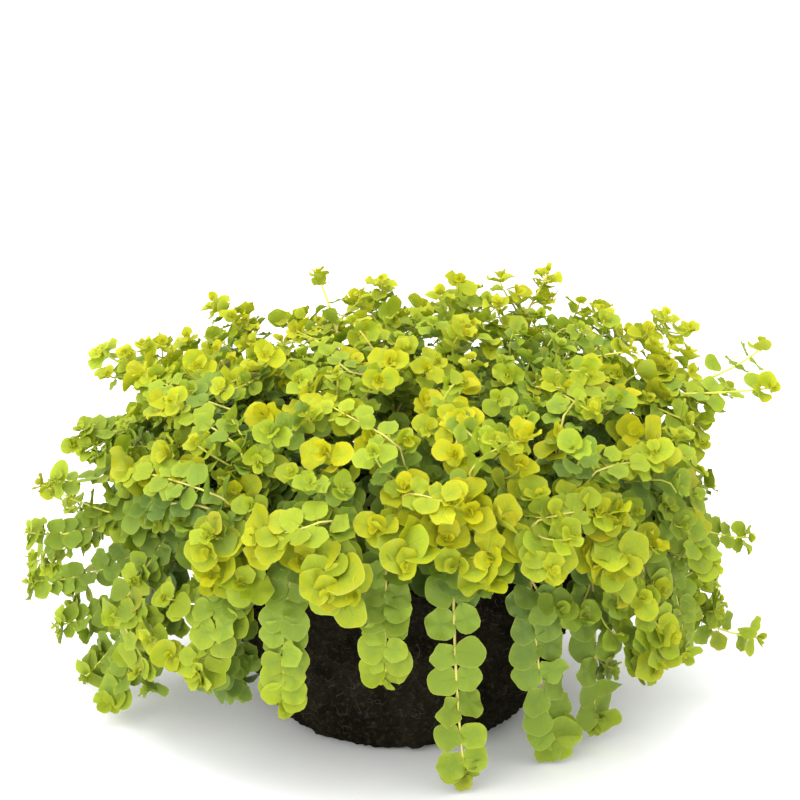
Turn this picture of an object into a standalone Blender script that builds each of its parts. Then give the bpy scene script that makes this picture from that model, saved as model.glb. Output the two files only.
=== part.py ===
"""Creeping jenny: a round mound of leafy stems growing from a bare root ball.

Metres, +Z up. The origin is the middle of the root ball's flat underside, which
stands on the surface, and the plant's front faces -Y.
"""
import itertools
import math
from collections import namedtuple

import bmesh
import bpy
import numpy as np
from mathutils import Matrix, Vector, noise
from mathutils.bvhtree import BVHTree

# The root ball
BALL_HEIGHT = 0.125
BALL_TOP_RADIUS = 0.122
BALL_BOTTOM_RADIUS = 0.084
BALL_BULGE = 0.003
BALL_FOOT_ROUNDING = 0.014
BALL_SHOULDER_ROUNDING = 0.010
BALL_CROWN = 0.004
BALL_LUMP = 0.0022
BALL_LUMP_SCALE = 28.0
BALL_SIDES = 24
WALL_SHARES = (0.33, 0.67)
SOIL_SHARES = (0.72, 0.4)

# The stems, three-sided and tapering to the tip
STEM_WIDTH = 0.0024
STEM_DEPTH = 0.0020
TOP_SHARE = 0.4
NODE_LENGTH = 0.0026
TIP_TAPER = 0.7
BARE_RINGS = 2
SOIL_GAP = 0.0007
ROOT_LEAN = 0.030
PULL_SHARE = 0.42
RISE_SHARE = 0.25
STEM_SPACING = 0.0042
LINE_STEPS = 96
CHAIN_STEPS = 10
ROOT_SWINGS = (0, 9, -9, 18, -18, 27, -27, 36, -36, 48, -48, 60, -60)

# The leaves: a round rim, its points by their angle from the leaf's tip
RIM_ANGLES = (128.0, 62.0, 0.0, -62.0, -128.0)
LEAF_STALK = 0.0016
LEAF_ROUGHNESS = 0.5
TIP_LEAVES = (0.66, 0.86)
CLEARANCE = 0.0005
LEAF_SIZES = (1.0, 0.88, 0.74, 0.6, 0.45)
LEAF_TILTS = (12.0, -14.0, 32.0, -38.0, 50.0, -60.0)
LEAF_SWEEPS = (12.0, 30.0, -8.0)

# Which way the leaves face: away from the mound's heart, with a little sway from pair to pair
MOUND_HEART = Vector((0.0, 0.0, 0.060))
FACING_SWAY = 0.42
UPRIGHT_LIMIT = 0.42
STEEPEST_PITCH = 1.5

UP = Vector((0.0, 0.0, 1.0))
MILLIMETRE = 0.001

# One row for a stem, with lengths in millimetres and angles in degrees: the tip's x, y and z, how far
# from the middle it roots, how high it rises before it turns out, how far its tip dips below level,
# how far its tip heads aside of straight out, its pairs of leaves, their width, and its bare share.
Stem = namedtuple("Stem", "x y z root rise dip aside pairs leaf bare")
TRAILING_STEMS = (
    (38, -130, 9, 92, 92, 107, -41, 8, 21, 0.44),
    (94, -92, 9, 86, 96, 115, -86, 7, 22, 0.44),
    (117, -68, 12, 94, 88, 102, -60, 7, 21, 0.42),
    (-66, -141, 60, 84, 86, 104, 20, 6, 23, 0.40),
    (-116, -121, 66, 88, 86, 118, 88, 5, 25, 0.42),
    (-8, -151, 80, 98, 78, 100, 0, 5, 24, 0.40),
    (-40, -178, 142, 92, 80, 46, 10, 4, 30, 0.38),
    (-107, -154, 158, 96, 84, 26, 0, 4, 28, 0.36),
    (4, -184, 160, 78, 84, 38, 0, 4, 28, 0.36),
    (49, -166, 142, 96, 76, 58, 0, 4, 26, 0.38),
    (84, -172, 154, 72, 88, 30, 0, 4, 28, 0.36),
    (151, -92, 60, 92, 90, 84, -30, 6, 23, 0.38),
    (128, -140, 146, 98, 76, 48, 0, 4, 28, 0.34),
)
RIGHT_STEMS = (
    (225, -8, 44, 90, 92, 6, 0, 6, 30, 0.30),
    (172, -64, 54, 66, 100, 84, 0, 6, 30, 0.30),
    (200, 40, 56, 80, 96, 80, 0, 5, 30, 0.30),
    (220, 16, 102, 94, 86, 4, 10, 5, 30, 0.30),
    (186, -66, 112, 58, 98, 52, 0, 5, 30, 0.30),
    (231, 64, 214, 70, 88, -34, 10, 5, 30, 0.30),
    (229, 12, 202, 48, 94, -8, 0, 5, 30, 0.30),
    (176, -62, 174, 72, 90, 20, 0, 4, 30, 0.30),
)
LEFT_STEMS = (
    (-190, 60, 212, 64, 86, -36, 10, 5, 30, 0.30),
    (-200, 28, 170, 84, 80, -8, 0, 4, 30, 0.30),
    (-206, -52, 164, 62, 88, -8, 0, 5, 30, 0.30),
    (-226, -32, 124, 90, 82, -14, 0, 5, 30, 0.30),
    (-240, 44, 62, 66, 96, 0, 0, 6, 30, 0.30),
    (-220, 22, 40, 94, 90, 8, 0, 6, 30, 0.30),
    (-198, -12, 18, 82, 94, 46, 0, 6, 30, 0.30),
    (-180, -40, 11, 92, 90, 56, 12, 6, 30, 0.30),
    (-172, -74, 84, 90, 86, 50, 0, 5, 30, 0.30),
    (-148, -84, 180, 58, 88, 8, 0, 4, 30, 0.30),
)
BACK_STEMS = (
    (36, 138, 14, 92, 92, 104, 20, 5, 31, 0.32),
    (-44, 144, 40, 88, 92, 100, 0, 5, 31, 0.32),
    (-122, 106, 24, 92, 96, 60, -20, 5, 31, 0.32),
    (114, 122, 52, 88, 92, 70, 20, 5, 31, 0.32),
    (-4, 190, 122, 90, 82, 40, 0, 4, 31, 0.32),
    (82, 178, 132, 92, 82, 30, 0, 4, 31, 0.32),
    (-92, 172, 136, 90, 82, 20, 0, 4, 31, 0.32),
    (162, 134, 124, 92, 84, 20, 0, 4, 31, 0.32),
    (-168, 120, 124, 92, 84, 20, 0, 4, 31, 0.32),
)
CROWN_STEMS = (
    (-52, 62, 262, 26, 84, -46, -10, 5, 26, 0.36),
    (-10, 84, 250, 44, 88, -70, 0, 4, 26, 0.36),
    (92, 62, 260, 46, 92, -56, 0, 5, 26, 0.36),
    (44, 100, 244, 62, 84, -50, 0, 4, 33, 0.36),
    (-118, 78, 236, 52, 88, -34, 0, 6, 32, 0.24),
    (134, 110, 226, 70, 86, -24, 0, 5, 33, 0.24),
    (-66, 126, 218, 66, 82, -20, 0, 4, 33, 0.30),
    (14, 144, 218, 74, 78, -16, 0, 4, 33, 0.28),
    (172, 90, 222, 76, 88, -16, 0, 5, 33, 0.24),
    (-154, 88, 210, 76, 86, -14, 0, 5, 33, 0.24),
)
SHOULDER_STEMS = (
    (-30, 22, 242, 10, 94, -28, 0, 3, 33, 0.32),
    (44, 12, 242, 24, 94, -26, 0, 4, 33, 0.30),
    (-48, -102, 222, 44, 86, -2, 0, 4, 33, 0.30),
    (34, -110, 218, 50, 84, 0, 0, 4, 33, 0.30),
    (-90, -50, 230, 34, 92, -8, 0, 4, 33, 0.30),
    (96, -66, 226, 38, 90, -6, 0, 4, 33, 0.30),
    (-6, -60, 240, 18, 92, -16, 0, 3, 33, 0.30),
    (142, 10, 226, 40, 92, -8, 0, 4, 33, 0.30),
    (-156, 0, 214, 60, 84, -6, 0, 4, 33, 0.30),
)
# Each family: its rows, how much its leaves turn up to the light, and their colour
FAMILIES = (
    ("trailing_stem", TRAILING_STEMS, 0.20, (0.52, 0.62, 0.05)),
    ("right_stem", RIGHT_STEMS, 1.0, (0.38, 0.48, 0.04)),
    ("left_stem", LEFT_STEMS, 1.0, (0.38, 0.48, 0.04)),
    ("back_stem", BACK_STEMS, 0.40, (0.34, 0.45, 0.04)),
    ("crown_stem", CROWN_STEMS, 0.60, (0.45, 0.55, 0.05)),
    ("shoulder_stem", SHOULDER_STEMS, 0.80, (0.42, 0.52, 0.04)),
)


# A place along a stem: its middle, the way to the tip, the stem's upper side, its right-hand side,
# and the way its leaves would face
Place = namedtuple("Place", "middle forward top side facing")


def clear_scene():
    for item in list(bpy.data.objects):
        bpy.data.objects.remove(item)


def material(name, colour, roughness):
    finish = bpy.data.materials.new(name)
    finish.use_nodes = True
    shader = finish.node_tree.nodes["Principled BSDF"]
    shader.inputs["Base Color"].default_value = (*colour, 1.0)
    shader.inputs["Roughness"].default_value = roughness
    shader.inputs["Metallic"].default_value = 0.0
    finish.diffuse_color = (*colour, 1.0)
    return finish


def add_object(name, bm, finish):
    mesh = bpy.data.meshes.new(name)
    bm.to_mesh(mesh)
    bm.free()
    mesh.materials.append(finish)
    item = bpy.data.objects.new(name, mesh)
    bpy.context.collection.objects.link(item)
    return item


# The root ball: a lathed profile, then lumps

def arc(centre, radius, start, stop, steps):
    """Points of a rounded corner in the profile's plane, angles in degrees from +X."""
    points = []
    for step in range(steps + 1):
        angle = math.radians(start + (stop - start) * step / steps)
        points.append((centre[0] + radius * math.cos(angle), centre[1] + radius * math.sin(angle)))
    return points


def ball_profile():
    """Radius and height from the middle of the underside to the middle of the soil."""
    foot = BALL_FOOT_ROUNDING
    shoulder = BALL_SHOULDER_ROUNDING
    low = arc((BALL_BOTTOM_RADIUS - foot, foot), foot, -90.0, -15.0, 2)
    high = arc((BALL_TOP_RADIUS - shoulder, BALL_HEIGHT - shoulder), shoulder, -10.0, 80.0, 2)
    start = low[-1]
    stop = high[0]
    wall = []
    for share in WALL_SHARES:
        radius = start[0] + (stop[0] - start[0]) * share + BALL_BULGE * math.sin(math.pi * share)
        wall.append((radius, start[1] + (stop[1] - start[1]) * share))
    soil = []
    for share in SOIL_SHARES:
        soil.append((BALL_TOP_RADIUS * share, BALL_HEIGHT + BALL_CROWN * (1.0 - share * share)))
    middle = [(0.0, BALL_HEIGHT + BALL_CROWN)]
    return [(0.0, 0.0)] + low + wall + high + soil + middle


def make_root_ball():
    bm = bmesh.new()
    profile = [bm.verts.new((radius, 0.0, height)) for radius, height in ball_profile()]
    edges = [bm.edges.new(pair) for pair in zip(profile, profile[1:])]
    bmesh.ops.spin(bm, geom=profile + edges, cent=(0, 0, 0), axis=(0, 0, 1), angle=math.tau,
                   steps=BALL_SIDES, use_merge=True)
    bmesh.ops.remove_doubles(bm, verts=bm.verts, dist=0.0001)
    bmesh.ops.recalc_face_normals(bm, faces=bm.faces)
    bm.normal_update()
    for vert in bm.verts:
        if vert.co.z < 0.001:
            continue
        swell = noise.fractal(vert.co * BALL_LUMP_SCALE, 1.0, 2.0, 3) * BALL_LUMP
        rise = min(1.0, vert.co.z / BALL_FOOT_ROUNDING)
        vert.co += vert.normal * swell * rise
    for vert in bm.verts:
        vert.co.z = max(vert.co.z, 0.0)
    bmesh.ops.triangulate(bm, faces=bm.faces)
    peat = material("dark_root_fibre", (0.018, 0.016, 0.009), 0.95)
    ball = add_object("root_ball", bm, peat)
    ball.data.shade_smooth()
    return ball


# A stem's line: where its middle runs

def bezier(points, share):
    left = 1.0 - share
    return (points[0] * left ** 3 + points[1] * 3 * left * left * share
            + points[2] * 3 * left * share * share + points[3] * share ** 3)


def stem_line(stem, ball_tree, swing):
    """The four control points of a stem, its root swung sideways about the mound's middle."""
    tip = Vector((stem.x, stem.y, stem.z)) * MILLIMETRE
    rise = stem.rise * MILLIMETRE
    dip = math.radians(stem.dip)
    outward = Vector((tip.x, tip.y, 0.0)).normalized()
    rooted = Matrix.Rotation(math.radians(swing), 3, "Z") @ outward
    foot = rooted * stem.root * MILLIMETRE
    soil = ball_tree.ray_cast(foot + UP, -UP)[0]
    root = soil + UP * SOIL_GAP
    over = root + UP * rise + rooted * ROOT_LEAN
    aside = Matrix.Rotation(math.radians(stem.aside), 3, "Z") @ outward
    heading = aside * math.cos(dip) - UP * math.sin(dip)
    pull = PULL_SHARE * (tip - over).length + RISE_SHARE * rise
    return root, over, tip - heading * pull, tip


def at_shares(points, shares):
    """Points of a stem's line at the given shares of its length."""
    trail = [bezier(points, step / LINE_STEPS) for step in range(LINE_STEPS + 1)]
    lengths = [0.0]
    for before, after in zip(trail, trail[1:]):
        lengths.append(lengths[-1] + (after - before).length)
    found = []
    for share in shares:
        wanted = share * lengths[-1]
        index = next((i for i in range(1, LINE_STEPS) if lengths[i] >= wanted), LINE_STEPS)
        step = (wanted - lengths[index - 1]) / (lengths[index] - lengths[index - 1])
        found.append(trail[index - 1].lerp(trail[index], step))
    return found


def place_shares(stem):
    """Where the places lie on the line: the foot, halfway up the bare stretch, each leaf pair."""
    leafy = [stem.bare + (1.0 - stem.bare) * step / (stem.pairs - 1) for step in range(stem.pairs)]
    return [0.0, stem.bare * 0.5, *leafy]


def chain_of(middles):
    """Close points along the straight runs between a stem's places."""
    points = [before.lerp(after, step / CHAIN_STEPS) for before, after in zip(middles, middles[1:])
              for step in range(CHAIN_STEPS)]
    return np.array([*points, middles[-1]])


def gap_between(first, second):
    return np.linalg.norm(first[:, None] - second[None], axis=2).min()


def settle_lines(stems, ball_tree):
    """Swing each root until the stem keeps clear of those already placed."""
    settled, chains = [], []
    for stem in stems:
        for swing in ROOT_SWINGS:
            middles = at_shares(stem_line(stem, ball_tree, swing), place_shares(stem))
            chain = chain_of(middles)
            gap = min((gap_between(chain, other) for other in chains), default=1.0)
            risen = [Vector(point) for point in chain[CHAIN_STEPS:]]
            buried = any(ball_tree.find_nearest(point)[3] < STEM_WIDTH for point in risen)
            if gap > STEM_SPACING and not buried:
                break
        settled.append(middles)
        chains.append(chain)
    return settled


# A stem's frames: where its rings sit and which way its leaves face

def perpendicular(vector, axis):
    return vector - axis * vector.dot(axis)


def places_along(middles, lift, number):
    """The stem's places, with the directions of the stem and of its leaves."""
    outward = Vector((middles[-1].x, middles[-1].y, 0.0)).normalized()
    sideways = outward.cross(UP)
    places = []
    for index, middle in enumerate(middles):
        before = middles[max(index - 1, 0)]
        after = middles[min(index + 1, len(middles) - 1)]
        forward = (after - before).normalized() if index else UP
        facing = ((middle - MOUND_HEART).normalized() + UP * lift).normalized()
        sway = FACING_SWAY * math.sin(2.4 * index + 1.7 * number)
        facing = (facing + sideways * sway).normalized()
        top = perpendicular(facing, forward)
        if top.length < UPRIGHT_LIMIT:
            crossed = sideways if (index + number) % 2 else outward
            top = perpendicular(crossed, forward)
        top.normalize()
        places.append(Place(middle, forward, top, forward.cross(top), facing))
    return places


def ring(place, ahead, width):
    """Corners of the three-sided stem: left of the top, right of the top, and the underside."""
    half = 0.5 * STEM_WIDTH * width
    deep = STEM_DEPTH * width
    raised = place.middle + place.forward * ahead + place.top * deep * TOP_SHARE
    return [raised - place.side * half, raised + place.side * half, raised - place.top * deep]


def rings_of(places):
    """Rings in growing order: one for each bare place, two for each leaf pair."""
    rings = []
    last = len(places) - 1
    for index, place in enumerate(places):
        width = 1.0 - (1.0 - TIP_TAPER) * index / last
        if index < BARE_RINGS:
            rings.append(ring(place, 0.0, width))
            continue
        rings.append(ring(place, -0.5 * NODE_LENGTH, width))
        rings.append(ring(place, 0.5 * NODE_LENGTH, width))
    return rings


# Leaves: a wedge from the stem's side to a sharp round rim

def blade_axes(place, hand, tilt, sweep):
    """Directions along and across a blade, its upper side and its pitch; hand is -1 left, 1 right."""
    middle, forward, top, side, facing = place
    pitch = math.atan2(facing.dot(forward), facing.dot(top))
    pitch = max(-STEEPEST_PITCH, min(STEEPEST_PITCH, pitch))
    upper = top * math.cos(pitch) + forward * math.sin(pitch)
    across = forward * math.cos(pitch) - top * math.sin(pitch)
    along = side * hand
    along = along * math.cos(sweep) + across * math.sin(sweep)
    across = across * math.cos(sweep) - side * hand * math.sin(sweep)
    raised = along * math.cos(tilt) + upper * math.sin(tilt)
    upper = upper * math.cos(tilt) - along * math.sin(tilt)
    return raised, across, upper, pitch


def rim_points(place, hand, size, tilt, sweep, grow=0.0):
    along, across, upper, pitch = blade_axes(place, hand, tilt, sweep)
    radius = 0.5 * size
    start = place.middle + place.top * STEM_DEPTH * 0.5 * TOP_SHARE
    centre = start + along * (LEAF_STALK + radius)
    reach = radius + grow
    rim = []
    for angle in RIM_ANGLES:
        turn = math.radians(angle)
        rim.append(centre + along * math.cos(turn) * reach - across * math.sin(turn) * reach)
    return rim


def leaf_guard(place, hand, size, tilt, sweep):
    """A closed skin a little larger than the leaf, which no other piece may cross."""
    along, across, upper, pitch = blade_axes(place, hand, tilt, sweep)
    rim = rim_points(place, hand, size, tilt, sweep, CLEARANCE)
    base = place.middle + along * (STEM_WIDTH * 0.5 + 2.0 * CLEARANCE)
    first = base - across * 0.5 * NODE_LENGTH
    second = base + across * 0.5 * NODE_LENGTH
    over = [first + upper * 1.5 * CLEARANCE] + [point + upper * CLEARANCE for point in rim]
    over.append(second + upper * 1.5 * CLEARANCE)
    under = [first - upper * STEM_DEPTH * 0.8] + [point - upper * CLEARANCE for point in rim]
    under.append(second - upper * STEM_DEPTH * 0.8)
    count = len(over)
    walls = [(i, (i + 1) % count, count + (i + 1) % count, count + i) for i in range(count)]
    faces = [tuple(range(count)), tuple(range(2 * count - 1, count - 1, -1))] + walls
    return BVHTree.FromPolygons(over + under, faces)


def leaf_corners(pitch, near, far):
    """Which stem corners carry the leaf's upper and lower skins, at either end of its base."""
    (near_edge, near_under), (far_edge, far_under) = near, far
    if abs(pitch) <= math.pi / 4:
        return (near_edge, far_edge), (near_under, far_under)
    if pitch > 0.0:
        return (far_edge, far_under), (near_edge, near_under)
    return (near_under, near_edge), (far_under, far_edge)


def leaf_skin(place, hand, rim, pitch):
    """The leaf as it will be built, for testing against leaves already placed."""
    edge = 0 if hand < 0 else 1
    near = ring(place, -0.5 * NODE_LENGTH, 1.0)
    far = ring(place, 0.5 * NODE_LENGTH, 1.0)
    upper, lower = leaf_corners(pitch, (near[edge], near[2]), (far[edge], far[2]))
    faces = [(5, 7, 0), (6, 8, 4)]
    for first in (5, 7):
        faces += [(first, 0, 1), (first, 1, 2), (first, 2, first + 1), (first + 1, 2, 3), (first + 1, 3, 4)]
    return BVHTree.FromPolygons([*rim, *upper, *lower], faces)


def fit_leaf(place, hand, width, own, others, placed):
    """Rim and pitch of the first leaf, large to small, that keeps clear of all that stands, or none."""
    for share, tilt, sweep in itertools.product(LEAF_SIZES, LEAF_TILTS, LEAF_SWEEPS):
        size = width * share
        shape = (place, hand, size, math.radians(tilt), math.radians(sweep))
        rim = rim_points(*shape)
        if min(point.z for point in rim) < CLEARANCE:
            continue
        guard = leaf_guard(*shape)
        if guard.overlap(own) or any(guard.overlap(tree) for tree in others):
            continue
        pitch = blade_axes(*shape[:2], *shape[3:])[3]
        skin = leaf_skin(place, hand, rim, pitch)
        centre = place.middle.lerp(rim[2], 0.5)
        near = [tree for other, reach, tree in placed if (other - centre).length < reach + size]
        near += others
        if any(guard.overlap(tree) or skin.overlap(tree) for tree in near):
            continue
        placed.append((centre, size, skin))
        return rim, pitch
    return None


# Building a stem

def grow_ring(bm, cap, corners):
    """Extrude the stem's end to three new corners, with as little twist as can be."""
    old = list(cap.verts)
    order = least_twist([vert.co for vert in old], corners)
    fresh = bmesh.ops.extrude_discrete_faces(bm, faces=[cap])["faces"][0]
    fresh_verts = set(fresh.verts)
    labels = {}
    for index, vert in enumerate(old):
        neighbours = [edge.other_vert(vert) for edge in vert.link_edges]
        moved = next(other for other in neighbours if other in fresh_verts)
        label = (index + order) % 3
        moved.co = corners[label]
        labels[label] = moved
    return fresh, [labels[0], labels[1], labels[2]]


def split_fan(corner, rim):
    for vert in rim:
        face = next(face for face in corner.link_faces if vert in face.verts)
        bmesh.utils.face_split(face, corner, vert)


def grow_leaf(bm, near, far, rim, pitch):
    """Pull one side of a stem's node out into a leaf and fan its two skins to the round rim."""
    upper, lower = leaf_corners(pitch, near, far)
    face = bm.faces.get((near[0], near[1], far[1], far[0]))
    fresh = bmesh.ops.extrude_discrete_faces(bm, faces=[face])["faces"][0]
    fresh_verts = set(fresh.verts)

    def pulled(vert):
        return next(edge.other_vert(vert) for edge in vert.link_edges if edge.other_vert(vert) in fresh_verts)

    pairs = [(pulled(upper[end]), pulled(lower[end])) for end in (0, 1)]
    for pair, point in zip(pairs, (rim[0], rim[-1])):
        for vert in pair:
            vert.co = point
    merges = {first: second for first, second in pairs}
    bmesh.ops.weld_verts(bm, targetmap=merges)
    start, stop = [second for first, second in pairs]
    middle = []
    for point in rim[1:-1]:
        fresh_edge, start = bmesh.utils.edge_split(bm.edges.get((start, stop)), start, 0.5)
        start.co = point
        middle.append(start)
    for near_corner, far_corner in (upper, lower):
        split_fan(near_corner, middle[:2])
        split_fan(far_corner, middle[1:])


def build_stem(name, places, leaves, finish):
    """One closed solid: a stem extruded ring by ring, with its leaves grown from its sides."""
    rings = rings_of(places)
    bm = bmesh.new()
    corners = [bm.verts.new(point) for point in rings[0]]
    cap = bm.faces.new(corners)
    grown = [corners]
    for points in rings[1:]:
        cap, labels = grow_ring(bm, cap, points)
        grown.append(labels)
    bmesh.ops.holes_fill(bm, edges=[edge for edge in bm.edges if edge.is_boundary])
    for index, hand, rim, pitch in leaves:
        first = BARE_RINGS + 2 * (index - BARE_RINGS)
        start, stop = grown[first], grown[first + 1]
        edge = 0 if hand < 0 else 1
        grow_leaf(bm, (start[edge], start[2]), (stop[edge], stop[2]), rim, pitch)
    bmesh.ops.triangulate(bm, faces=bm.faces)
    bmesh.ops.recalc_face_normals(bm, faces=bm.faces)
    if bm.calc_volume(signed=True) < 0.0:
        bmesh.ops.reverse_faces(bm, faces=bm.faces)
    return add_object(name, bm, finish)


def least_twist(old, new):
    """How far to turn three new corners so that they lie nearest to the old ones."""
    return min(range(3), key=lambda turn: sum((old[i] - new[(i + turn) % 3]).length for i in range(3)))


def stem_skin(places):
    """The bare stem as a skin that leaves must keep clear of."""
    rings = rings_of(places)
    points = [point for corners in rings for point in corners]
    faces = []
    for index, (near, far) in enumerate(zip(rings, rings[1:])):
        turn = least_twist(near, far)
        start = 3 * index
        stop = start + 3
        for side in range(3):
            after = (side + 1) % 3
            faces.append((start + side, start + after, stop + (after + turn) % 3, stop + (side + turn) % 3))
    return BVHTree.FromPolygons(points, faces)


def fit_leaves(places, width, own, others, placed):
    """Leaves of one stem from its tip down, the pairs at the tip smaller."""
    leaves = []
    for index in range(len(places) - 1, BARE_RINGS - 1, -1):
        from_tip = len(places) - 1 - index
        share = TIP_LEAVES[from_tip] if from_tip < len(TIP_LEAVES) else 1.0
        for hand in (-1, 1):
            found = fit_leaf(places[index], hand, width * share, own, others, placed)
            if found:
                leaves.append((index, hand, *found))
    return leaves


def main():
    clear_scene()
    ball = make_root_ball()
    ball_tree = BVHTree.FromPolygons([vert.co for vert in ball.data.vertices],
                                     [tuple(face.vertices) for face in ball.data.polygons])
    rows = [Stem(*row) for family, group, lift, colour in FAMILIES for row in group]
    lines = iter(settle_lines(rows, ball_tree))
    stems = []
    for family, group, lift, colour in FAMILIES:
        finish = material(family + "_leaf", colour, LEAF_ROUGHNESS)
        for number, row in enumerate(group, 1):
            stem = Stem(*row)
            places = places_along(next(lines), lift, number)
            stems.append((f"{family}_{number:02d}", stem, places, finish))
    skins = [stem_skin(places) for name, stem, places, finish in stems]
    placed = []
    for own, (name, stem, places, finish) in zip(skins, stems):
        others = [ball_tree] + [skin for skin in skins if skin is not own]
        leaves = fit_leaves(places, stem.leaf * MILLIMETRE, own, others, placed)
        build_stem(name, places, leaves, finish)
    print("leaves", len(placed), "triangles", sum(len(item.data.polygons) for item in bpy.data.objects))


main()
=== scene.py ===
# %% [markdown]
# # A golden creeping jenny
# Creeping jenny grows as a mat of thin stems with round leaves in pairs. Lifted out of its basket it is a
# mound of golden foliage on a dark ball of peat and roots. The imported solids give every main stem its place
# and reach, and this lesson grows fine foliage along those same lines, because thousands of small leaves
# are easier to grow by a few rules than to model one by one.

# %% The solids that everything grows from
import math
from collections import namedtuple
from functools import partialmethod

import bmesh
import bpy
import numpy as np
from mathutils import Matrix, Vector, noise
from mathutils.bvhtree import BVHTree
from mathutils.kdtree import KDTree


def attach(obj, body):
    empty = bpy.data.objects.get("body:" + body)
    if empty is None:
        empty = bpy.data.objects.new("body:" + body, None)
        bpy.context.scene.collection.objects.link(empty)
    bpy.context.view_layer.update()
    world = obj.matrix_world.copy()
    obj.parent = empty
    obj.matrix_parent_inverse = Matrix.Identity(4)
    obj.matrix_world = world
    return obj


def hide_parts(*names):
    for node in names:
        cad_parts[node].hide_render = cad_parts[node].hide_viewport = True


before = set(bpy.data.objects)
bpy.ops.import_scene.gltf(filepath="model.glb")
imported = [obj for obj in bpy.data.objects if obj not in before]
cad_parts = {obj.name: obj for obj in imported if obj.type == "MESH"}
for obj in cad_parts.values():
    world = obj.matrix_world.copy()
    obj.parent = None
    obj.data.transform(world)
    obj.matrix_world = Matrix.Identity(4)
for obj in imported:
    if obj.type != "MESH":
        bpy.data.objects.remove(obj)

BODY = "root"
MILLIMETRE = 0.001
UP = np.array((0.0, 0.0, 1.0))
SEED = 11
chance = np.random.default_rng(SEED)

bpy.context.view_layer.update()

# %% [markdown]
# The camera stands where the photograph was taken from, a metre and a half away, and looks down by about
# twenty degrees through a long lens. The lens is worked out from pixels, which gives the plant its size and
# place in the photograph.

# %% The camera
FRAME_PIXELS = 800
FOCAL_PIXELS = 2420.0
SENSOR_WIDTH = 36.0
VIEW_DISTANCE = 1.5
VIEW_ELEVATION = math.radians(21.0)
AIM = Vector((0.0, 0.0, 0.11))
AIM_ROW = 535.0


def add_object(name, data):
    item = bpy.data.objects.new(name, data)
    bpy.context.scene.collection.objects.link(item)
    return item


def make_camera():
    data = bpy.data.cameras.new("photo_camera")
    data.sensor_width = SENSOR_WIDTH
    data.lens = FOCAL_PIXELS / FRAME_PIXELS * SENSOR_WIDTH
    camera = add_object("photo_camera", data)
    away = Vector((0.0, -math.cos(VIEW_ELEVATION), math.sin(VIEW_ELEVATION)))
    camera.location = AIM + away * VIEW_DISTANCE
    look_down = VIEW_ELEVATION - math.atan((AIM_ROW - FRAME_PIXELS / 2) / FOCAL_PIXELS)
    camera.rotation_euler = (math.pi / 2 - look_down, 0.0, 0.0)
    bpy.context.scene.camera = camera
    return camera


camera = make_camera()
print("camera at", np.round(camera.location, 2), "with lens", round(camera.data.lens, 1))

# %% [markdown]
# Every finish is a small tree of nodes. These helpers keep the trees short to read: a node takes plain
# values or other nodes' outputs, and a sum on an output adds a Math node, so a pattern reads as arithmetic.

# %% Helpers for finishes
class Value:
    """A node's output."""

    def __init__(self, socket):
        self.socket = socket
        self.tree = socket.id_data

    def sum(self, operation, other=0.0):
        return add_node(self.tree, "Math", {0: self, 1: other}, operation=operation)

    __add__ = partialmethod(sum, "ADD")
    __sub__ = partialmethod(sum, "SUBTRACT")
    __mul__ = partialmethod(sum, "MULTIPLY")
    __pow__ = partialmethod(sum, "POWER")
    __gt__ = partialmethod(sum, "GREATER_THAN")
    __abs__ = partialmethod(sum, "ABSOLUTE")


def fill(node, inputs):
    for key, value in inputs.items():
        if isinstance(value, Value):
            node.id_data.links.new(value.socket, node.inputs[key])
        else:
            node.inputs[key].default_value = value


def add_node(tree, kind, inputs, output=0, **settings):
    """One output of a new node."""
    made = tree.nodes.new("ShaderNode" + kind)
    for name, value in settings.items():
        setattr(made, name, value)
    fill(made, inputs)
    return Value(made.outputs[output])


def new_finish(name, roughness, shine=0.5):
    finish = bpy.data.materials.new(name)
    finish.use_nodes = True
    shader = finish.node_tree.nodes["Principled BSDF"]
    fill(shader, {"Roughness": roughness, "Specular IOR Level": shine})
    return finish, finish.node_tree, shader


print("helpers ready")

# %% [markdown]
# The photograph is a studio shot on white: soft light from all round, a little stronger from above and the
# front left. A bright plain world with two large lamps gives that without a hard edge.

# %% Floor and light
FLOOR_REACH = 14.0
FLOOR_COLOUR = (0.96, 0.96, 0.96, 1.0)
WORLD_COLOUR = (1.0, 1.0, 1.0, 1.0)
WORLD_STRENGTH = 1.56
LAMP_SIZE = 1.9
LAMPS = (("front_soft_box", (-1.2, -2.0, 1.05), 28.0), ("top_soft_box", (-0.3, -0.1, 2.30), 32.0))


def finished_mesh(bm, name, finish):
    mesh = bpy.data.meshes.new(name)
    bm.to_mesh(mesh)
    bm.free()
    mesh.materials.append(finish)
    return mesh


def make_floor():
    bm = bmesh.new()
    bmesh.ops.create_grid(bm, x_segments=2, y_segments=2, size=FLOOR_REACH)
    finish, tree, shader = new_finish("white_floor", 0.9, 0.1)
    fill(shader, {"Base Color": FLOOR_COLOUR})
    floor = add_object("floor", finished_mesh(bm, "floor", finish))


def make_lamp(name, place, power):
    data = bpy.data.lights.new(name, "AREA")
    data.size = LAMP_SIZE
    data.energy = power
    lamp = add_object(name, data)
    lamp.location = place
    lamp.rotation_euler = (AIM - Vector(place)).to_track_quat("-Z", "Y").to_euler()


def make_light():
    world = bpy.data.worlds.new("white_studio")
    world.use_nodes = True
    fill(world.node_tree.nodes["Background"], {"Color": WORLD_COLOUR, "Strength": WORLD_STRENGTH})
    bpy.context.scene.world = world
    for lamp in LAMPS:
        make_lamp(*lamp)
    bpy.context.scene.view_settings.view_transform = "Standard"


make_floor()
make_light()
print("white floor and", len(LAMPS), "soft boxes")

# %% [markdown]
# Peat held by roots is almost black, with brown crumbs and paler strands. The colour comes from noise at
# three scales: slow damp patches, crumbs a few millimetres wide, and thin stretched flecks. All read Object
# coordinates, so they sit still on the ball.

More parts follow.
